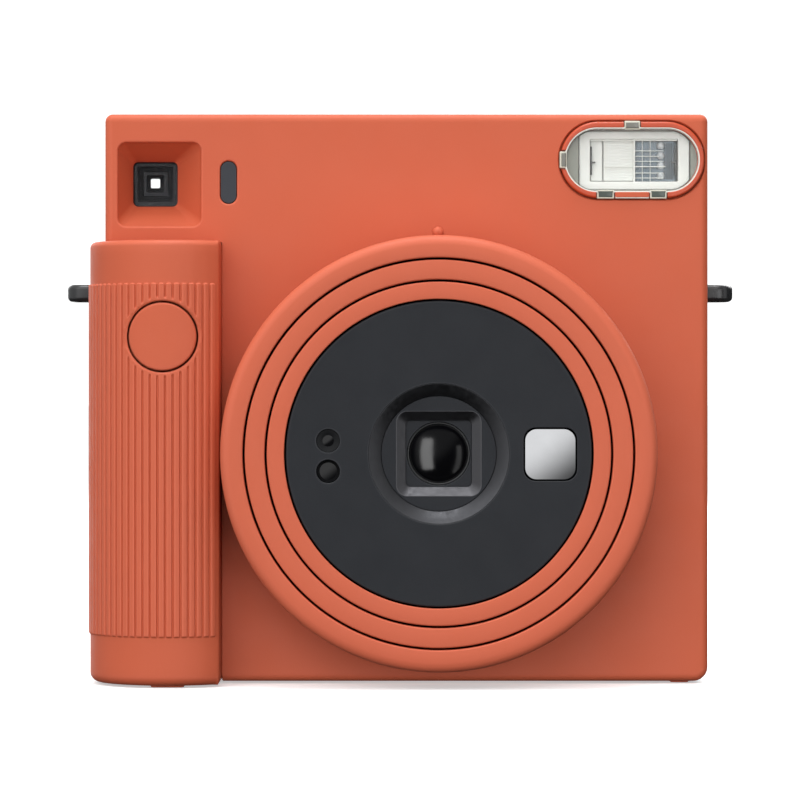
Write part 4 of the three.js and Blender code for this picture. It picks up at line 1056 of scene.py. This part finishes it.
def flash_unit(cx, cz):
    """What shows behind the flash window: a white frame, a ribbed left half and a gridded right half. The
    white left half is a painted reflection of a lamp. The dark right half is a painted reflection, with white
    grid lines and pale beads as painted highlights. Together they stand in for the flash's prismatic lens.
    """
    front = -7.15
    floor = 3.0

    def bars(name, specs, material, slot):
        """Blocks placed from the middle of the unit's front, as one piece."""
        pieces = []
        for x0, x1, y0, y1, z0, z1, radius in specs:
            spans = (cx + x0, cx + x1, front + y0, front + y1, cz + z0, cz + z1)
            pieces.append(block("bar", *spans, material, radius))
        add(joined(name, pieces), slot)

    reflector = Box("flash_reflector")
    edge = narrowing(cx, cz, 23.2, 12.3, 1.2)
    recess = rect_chain(cx - 9.3, cx + 9.2, cz - 4.4, cz + 4.5, 0.3, front, front + 3.2, 0.15)
    chain = rim(edge, front, 1, 0.25, 4, 0.1) + [(edge(0), reflector.y1)]
    body = Skin().plate(chain, pockets=[recess]).build("flash_frame", WHITE)
    add(body, "white", "flash_reflector")
    # painted reflection: white ribs for the left half of the lens, which reflects a lamp
    ribs = [(-6.4, 0.0, 1.1, floor, 0.56 * k - 4.2, 0.56 * k - 3.66, 0.06) for k in range(15)]
    ribs += [
        (-6.4, 0.0, 1.2, floor, -4.2, 4.2, 0.05), (-9.1, -6.6, 1.4, floor, -4.2, 4.2, 0.1),
        (-0.12, 0.22, 0.3, floor, -4.4, 4.5, 0.08), (-9.2, 9.0, 0.35, 0.9, 4.15, 4.45, 0.08),
        (-6.0, 6.6, 0.5, 0.75, -1.35, -1.15, 0.05),
    ]
    bars("flash_ribs_painted_reflection", ribs, WHITE, "white")
    # painted reflection: a dark foil panel for the right half of the lens
    bars("flash_foil_painted_reflection", [(0.3, 9.1, 2.6, floor + 0.1, -4.3, 4.3, 0.1)], DARK_REFLECTION_FOIL, "mirror")
    # painted highlights: white grid lines for the facets of the lens's right half
    grid = [(0.2, 6.2, 1.0, 1.25, z - 0.07, z + 0.07, 0.03) for z in (-3.6, -2.55, -1.2, -0.1, 0.95, 2.1)]
    grid += [(x - 0.06, x + 0.06, 0.9, 1.15, -4.3, 4.3, 0.03) for x in (1.75, 3.4)]
    bars("flash_grid_painted_highlights", grid, WHITE, "white")
    # painted highlight: four pale beads stand in for the glints on the flash lens
    bulge = ((0, -0.8), (0.6, -0.72), (0.95, -0.3), (1, 0), (0.95, 0.3), (0.6, 0.72), (0, 0.8))
    glint_beads = []
    for k in range(4):
        profile = [(share, cz - 3.1 + 2.1 * k + rise) for share, rise in bulge]
        glint_beads.append(dome("bead", 0.85, profile, GLINT_BEAD_ACRYLIC, (cx + 5.7, front + 1.7), 32, "Z"))
    add(joined("flash_painted_glints", glint_beads), "glass")
    clips = []
    for x, x0, x1 in ((-9.0, -9.1, -8.1), (8.75, 7.85, 8.85)):
        clips.append((x - 0.18, x + 0.18, 0.7, 1.4, -3.0, 3.0, 0.1))
        clips.append((x0, x1, 0.6, 1.2, -0.55, -0.2, 0.1))
    bars("flash_electrodes", clips, LUG, "black")
    # painted reflection: dark foil fins at the right edge of the lens
    fins = [(6.6 + 0.5 * k, 6.8 + 0.5 * k, 1.2, floor, -3.8, 3.8, 0.05) for k in range(4)]
    bars("flash_fins_painted_reflection", fins, DARK_REFLECTION_FOIL, "mirror")
    tube = Box("flash_tube")
    spot = (tube.cy + 2.2, tube.cz)
    glass = dome("xenon_tube", 1.25, rod(tube.x0, tube.x1, 0.1, 0.7), TUBE_GLASS, spot, 40, "X")
    add(glass, "glass", "flash_tube")


def rod(low, high, shoulder, wall):
    """The profile of a rod with rounded ends."""
    end = [(0, 0), (0.7, shoulder), (1, wall)]
    rise = [(share, low + depth) for share, depth in end]
    return rise + [(share, high - depth) for share, depth in reversed(end)]


# ---- Viewfinder and small windows ----

def finder():
    cx, cz = TUNNEL.cx, TUNNEL.cz
    front, rear = Box("viewfinder_front_lens"), Box("viewfinder_rear_lens")
    eye, meter = Box("eyepiece_frame"), Box("metering_window")

    def square(side, radius, x=cx, z=cz, steps=8):
        return rounded_rect(x, z, side, side, radius, steps=steps)

    def straight(side, radius, *depths):
        return [(square(side, radius), depth) for depth in depths]

    def finder_pane(end, side, y0, y1, edge):
        glass = Skin().slab(narrowing(cx, cz, side, side, 0.9), y0, y1, edge)
        add(glass.build(f"finder_{end}_pane", FINDER_GLASS), "glass", f"viewfinder_{end}_lens")

    tunnel = Skin().plate(straight(11, 0.6, TUNNEL.y0, TUNNEL.y1), [straight(9.2, 1.0, TUNNEL.y0, TUNNEL.y1)])
    # painted shade: the viewfinder tunnel takes the darker shaded black
    add(tunnel.build("finder_tunnel", SHADED_BLACK), "black", "viewfinder_tunnel")
    finder_pane("front", 9.0, front.y0 - 0.3, front.y0 + 0.4, 0.1)
    lean_x, lean_z = -0.0635, 0.09
    for k, (opening, depth) in enumerate(((7.4, 0.6), (5.2, 1.6), (3.6, 2.6), (2.0, 3.8))):
        y = front.y0 + depth + 0.3
        x = cx + lean_x * (y - FACE - 6.4)
        z = cz + lean_z * (y - FACE - 6.4)
        hole = [(square(opening + 0.15, 0.35, x, z), y), (square(opening, 0.3, x, z), y + 0.08),
                (square(opening, 0.3, x, z), y + 0.5)]
        baffle = Skin().plate(straight(9.1, 0.9, y, y + 0.5), [hole])
        # painted shade: every other baffle takes the darker shaded black
        add(baffle.build(f"finder_baffle_{k + 1}", (BLACK, SHADED_BLACK)[k % 2]), "black")
    edge = shrinking(eye.cx, eye.cz, eye.x1 - eye.x0, eye.z1 - eye.z0, 2.5, steps=10)
    outer = rim(edge, eye.y1, -1, 0.9, 6) + [(edge(0), eye.y0)]
    steps = ((11.4, 1.8, eye.y1), (11.0, 1.6, eye.y1), (9.3, 1.1, eye.y1 - 1.6), (9.2, 1, eye.y0))
    hole = [(square(side, radius, steps=10), depth) for side, radius, depth in steps]
    add(Skin().plate(outer, [hole]).build("eyepiece_rim", BLACK), "black", "eyepiece_frame")
    finder_pane("rear", 8.9, rear.y0, rear.y0 + 0.8, 0.15)
    pill = shrinking(meter.cx, meter.cz, 3.4, 8.9, 1.7, steps=16)
    pane_skin = Skin().slab(pill, meter.y0 + 0.25, meter.y1, 0.25)
    add(pane_skin.build("meter_pane", SLATE), "window", "metering_window")


# ---- Back ----

def back_door():
    box, window, latch = Box("back_door"), Box("door_window"), Box("door_latch")
    low, high = box.z0 + 5.9, box.z1 - 5.9
    x0, x1 = box.x0, PIN.cx - 2.3
    edge = shrinking((x0 + x1) / 2, box.cz, x1 - x0, box.z1 - box.z0, 4, steps=10)
    outer = rim(edge, box.y1, -1, 0.8, 7, 0.12) + [(edge(0), box.y0 + 0.2), (edge(0.2), box.y0)]
    spans = (window.x0 - 0.2, window.x1 + 0.2, window.z0 - 0.2, window.z1 + 0.2)
    holes = [rect_chain(*spans, 1.4, box.y1, box.y0, 0.5)]
    spans = (latch.x0 - 0.2, latch.x1 + 0.2, latch.z0 - 0.4, latch.z1 + 5)
    pockets = [rect_chain(*spans, 0.8, box.y1, box.y1 - 1.0, 0.1, 0.1)]
    inside = [rect_chain(-33.6, 57.0, z0, z1, 2, box.y0, box.y0 + 1.5, 0.2)
              for z0, z1 in ((box.z0 + 3, window.z0 - 3), (window.z1 + 3, box.z1 - 3))]
    plate = Skin().plate(outer, holes, pockets, inside).build("door_panel", SHELL)
    add(plate, "shell", "back_door", body="back_door")
    add(knuckle("door_knuckle", low, high), "shell", body="back_door")
    link = block("door_link", x1 - 1.0, PIN.cx - 1.2, PIN.cy - 1.2, PIN.cy + 1.2, low, high, SHELL, 0.3)
    add(link, "shell", body="back_door")
    add(window_pane("door_pane", window, 1.2, 0.3, SMOKED), "window", "door_window", body="back_door")
    slider = [block("slide", latch.x0, latch.x1, latch.y0, latch.y0 + 0.55, latch.z0, latch.z1, SHELL, 0.5)]
    for k in range(6):
        z = latch.z0 + 1.7 + 1.8 * k
        spans = (latch.x0 + 0.5, latch.x1 - 0.5, latch.y0 + 0.3, latch.y1, z, z + 0.8)
        slider.append(block("grip", *spans, SHELL, 0.25))
    add(joined("latch_slider", slider), "shell", "door_latch", body="door_latch")


def window_pane(name, box, radius, edge, material):
    outline = narrowing(box.cx, box.cz, box.x1 - box.x0, box.z1 - box.z0, radius)
    return Skin().slab(outline, box.y0, box.y1, edge).build(name, material)


def back_details():
    pin = dome("hinge_pin_fine", 0.8, rod(PIN.z0, PIN.z1, 0.05, 0.3), STEEL, (PIN.cx, PIN.cy), 32, "Z")
    add(pin, "steel", "door_hinge_pin")
    add(window_pane("counter_pane", Box("counter_window"), 0.5, 0.2, CLEAR), "clear", "counter_window")
    dial = Box("counter_dial")
    radius = (dial.z1 - dial.z0) / 2
    profile = [(1.5, dial.y0, 0.1), (radius, dial.y0, 0.2), (radius, dial.y1, 0.2), (1.5, dial.y1, 0.1)]
    disc = turned("counter_disc", profile, WHITE, (dial.cx, dial.cz), steps=96)
    add(disc, "white", "counter_dial", body="counter_dial")
    profile = [(0, dial.y1 + 0.04), (1, dial.y1 + 0.03), (1, dial.y1 - 0.2), (0, dial.y1 - 0.2)]
    marks = []
    for k in range(11):
        turn = math.radians(90 + 30 * k)
        spot = (dial.cx + 6.2 * math.cos(turn), dial.cz + 6.2 * math.sin(turn))
        marks.append(dome("dot", 0.4 if k else 0.75, profile, INK, spot, 24))
    add(joined("counter_dots", marks), "black", body="counter_dial")


# ---- Underside, top and sides ----

def strap_lug(name, wall, side):
    box = Box(name)
    cy = box.cy
    reach = abs((box.x1 if side > 0 else box.x0) - wall)

    def outer(inset):
        corners = [(-3.3, cy - 4.4, 0.6), (reach, cy - 5, 3.4), (reach, cy + 5, 3.4), (-3.3, cy + 4.4, 0.6)]
        return [(wall + side * u, v) for u, v in polygon(corners, inset, 10)]

    def hole(grow):
        return [(wall + side * u, v) for u, v in rounded_rect(2.5, cy, 4.6, 6.4, 1.3, grow=grow, steps=10)]

    def both_rims(outline, radius):
        return rim(outline, box.z0, 1, radius, 6, 0.02) + rim(outline, box.z1, -1, radius, 6, 0.02)[::-1]

    skin = Skin("Z").plate(both_rims(outer, 1.0), [both_rims(hole, 0.75)])
    add(skin.build(name + "_fine", LUG), "black", name)


def battery_lid():
    lid = Box("battery_cover")
    low = 0.8
    outline = narrowing(lid.cx, lid.cy, lid.x1 - lid.x0, lid.y1 - lid.y0, 0.6)
    plate = [Skin("Z").slab(outline, low, lid.z1, 0.25).build("lid", SHELL)]
    for k in range(5):
        y = lid.y0 + 2.0 + 0.9 * k
        spans = (lid.cx - 3.5, lid.cx + 3.5, y, y + 0.45, low - 0.22, low + 0.3)
        plate.append(block("ridge", *spans, SHELL, 0.15, "Z"))
    add(joined("battery_lid", plate), "shell", "battery_cover", body="battery_cover")


def screws():
    arm, half = 0.95, 0.22
    cross = []
    for sx, sy in ((1, 1), (-1, 1), (-1, -1), (1, -1)):
        corner = [(sx * arm, sy * half), (sx * half, sy * half), (sx * half, sy * arm)]
        cross += corner if sx * sy > 0 else corner[::-1]
    for k in range(1, 4):
        name = f"case_screw_{k}"
        box = Box(name)
        slot = [([(box.cx + u * share, box.cy + v * share) for u, v in cross], box.z0 + depth)
                for share, depth in ((1, 0), (0.5, 0.7))]
        outer = rim(lambda inset: circle(box.cx, box.cy, 1.9 - inset, 48), box.z0, 1, 0.3, 4, 0.05)
        shank = ((1.9, box.z0 + 0.9), (0.9, box.z0 + 0.9), (0.9, box.z1))
        outer += circles(shank, centre=(box.cx, box.cy), points=48)
        skin = Skin("Z").plate(outer, pockets=[slot])
        add(skin.build(name + "_fine", STEEL), "steel", name)


def ejection_flap():
    flap = Box("ejection_flap")
    radius = (flap.z1 - flap.z0) / 2
    corners = [(flap.y0, flap.z0, 0.3), (flap.y1, flap.z0, radius - 0.03), (flap.y1, flap.z1, radius - 0.03),
               (flap.y0, flap.z1, 0.3)]
    slab = Skin("X").slab(lambda inset: polygon(corners, inset, 6), flap.x0, flap.x1, 0.15)
    parts = [slab.build("flap", BLACK)]
    for x in (flap.cx - 24, flap.cx, flap.cx + 24):
        spans = (x - 6, x + 6, flap.y0 + 0.5, flap.y1 - radius - 0.5, flap.z1 - 0.1, flap.z1 + 0.12)
        parts.append(block("rib", *spans, BLACK, 0.05, "Z"))
    add(joined("flap_fine", parts), "black", "ejection_flap", body="ejection_flap")


# ---- Inner works, carried over from the CAD with finishes of their own ----

def inner_works():
    finishes = {
        SHADED_BLACK: ("light_shield", "film_chamber", "shutter_housing", "battery_holder"),
        BLACK: ("film_pack", "release_switch", "flash_capacitor"),
        STEEL: ("pressure_plate", "shutter_blade_left", "shutter_blade_right", "battery_bridge",
                "drive_roller", "pinch_roller", "motor", "film_pick"),
        GEAR: ("idler_gear", "motor_pinion"),
        BOARD: ("main_board", "release_board"),
        SLEEVE: ("battery_front", "battery_rear"),
        BEAD: ("rear_lens",),
    }
    for material, names in finishes.items():
        for name in names:
            materials = frame["nodes"][name].data.materials
            if materials:
                materials[0] = material
            else:
                materials.append(material)


# ---- Stage ----

def stage():
    size = 40.0
    corners = [(-size, -size, 0), (size, -size, 0), (size, size, 0), (-size, size, 0)]
    mesh = bpy.data.meshes.new("floor")
    mesh.from_pydata(corners, [], [(0, 1, 2, 3)])
    floor = new_piece("floor", mesh)
    paper = new_material("floor_paper")
    mesh.materials.append(finish(
        paper, Base_Color=(0.9, 0.9, 0.9, 1), Roughness=ramp(paper, noise(paper, 12), 0.8, 0.9),
        Specular_IOR_Level=0.0, Emission_Color=(1, 1, 1, 1), Emission_Strength=FLOOR_GLOW))
    floor.visible_diffuse = False
    floor.visible_glossy = False
    studio()
    objects = bpy.data.objects
    glint = bpy.data.collections.new("lens_glint")
    glint.objects.link(objects["front_element"])
    rest = bpy.data.collections.new("all_but_the_lens")
    for name in ("front_element", "selfie_mirror_fine", "light_meter_bead", "flash_meter_bead"):
        rest.objects.link(objects[name])
    for member in rest.collection_objects:
        member.light_linking.link_state = "EXCLUDE"
    for name, azimuth, elevation, distance, size, watts, receivers in (
        ("window", -20, 10, 1.1, (1.4, 1.3), WINDOW, rest),
        ("sky", -20, 44, 1.1, (1.2, 0.9), SKY, rest),
        ("front_fill", 24, -6, 1.1, (0.5, 0.7), 2.9, rest),
        ("side_fill", 62, 5, 1.1, (0.5, 1.2), 1.8, rest),
        ("top", -20, 82, 0.9, (0.5, 0.5), 5.5, rest),
        ("back", 150, 35, 1.3, (1.2, 0.8), 15, rest),
        ("back_low", 200, 8, 1.3, (1.0, 1.0), 8, rest),
        ("glint_left", -27, -2, 1.0, (0.5, 1.4), 36, glint),
        ("glint_right", 50, -14, 1.0, (0.25, 1.1), 3.5, glint),
    ):
        light = lamp(name, azimuth, elevation, distance, size, watts)
        light.light_linking.receiver_collection = receivers
    camera = new_piece("camera", bpy.data.cameras.new("camera"))
    camera.data.lens = 172
    camera.data.sensor_width = 36
    camera.location = (0, -0.80925, 0.0594)
    camera.rotation_euler = (math.pi / 2, 0, 0)
    bpy.context.scene.camera = camera
    bpy.context.scene.view_settings.view_transform = "Standard"


def studio():
    """A pale room: light from the upper left, dim at the lower right, and white where the camera sees it."""
    world = bpy.data.worlds.new("studio")
    bpy.context.scene.world = world
    world.use_nodes = True
    nodes, links = world.node_tree.nodes, world.node_tree.links
    room = nodes["Background"]
    coords = nodes.new("ShaderNodeTexCoord")
    slope = nodes.new("ShaderNodeVectorMath")
    slope.operation = "DOT_PRODUCT"
    slope.inputs[1].default_value = (-0.6, -0.35, 0.8)
    levels = nodes.new("ShaderNodeMapRange")
    levels.interpolation_type = "SMOOTHSTEP"
    spans = {"From Min": -0.05, "From Max": 0.47, "To Min": ROOM_DARK, "To Max": ROOM_LIGHT}
    for socket, value in spans.items():
        levels.inputs[socket].default_value = value
    links.new(coords.outputs["Generated"], slope.inputs[0])
    links.new(slope.outputs["Value"], levels.inputs["Value"])
    links.new(levels.outputs["Result"], room.inputs["Strength"])
    room.inputs["Color"].default_value = (1, 1, 1, 1)
    paper = nodes.new("ShaderNodeBackground")
    paper.inputs["Strength"].default_value = 1.6
    path = nodes.new("ShaderNodeLightPath")
    mix = nodes.new("ShaderNodeMixShader")
    links.new(path.outputs["Is Camera Ray"], mix.inputs["Fac"])
    links.new(room.outputs["Background"], mix.inputs[1])
    links.new(paper.outputs["Background"], mix.inputs[2])
    links.new(mix.outputs["Shader"], nodes["World Output"].inputs["Surface"])


def lamp(name, azimuth, elevation, distance, size, watts):
    """A softbox that faces the object. Azimuth 0 is the camera's side, and it grows to the right."""
    data = bpy.data.lights.new(name, "AREA")
    data.shape = "RECTANGLE"
    data.size, data.size_y = size
    data.energy = watts
    light = new_piece(name, data)
    turn, rise = math.radians(azimuth), math.radians(elevation)
    out = Vector((math.sin(turn) * math.cos(rise), -math.cos(turn) * math.cos(rise), math.sin(rise)))
    light.location = Vector((0, 0, 0.06)) + out * distance
    light.rotation_euler = (-out).to_track_quat("-Z", "Y").to_euler()
    return light


for make in (front_cover, rear_cover, seam_band, grip, button, release_spring, feet, lens, lens_face,
             flash, finder, back_door, back_details):
    make()
strap_lug("strap_lug_left", REAR.x0, -1)
strap_lug("strap_lug_right", REAR.x1, 1)
battery_lid()
screws()
ejection_flap()
inner_works()
stage()
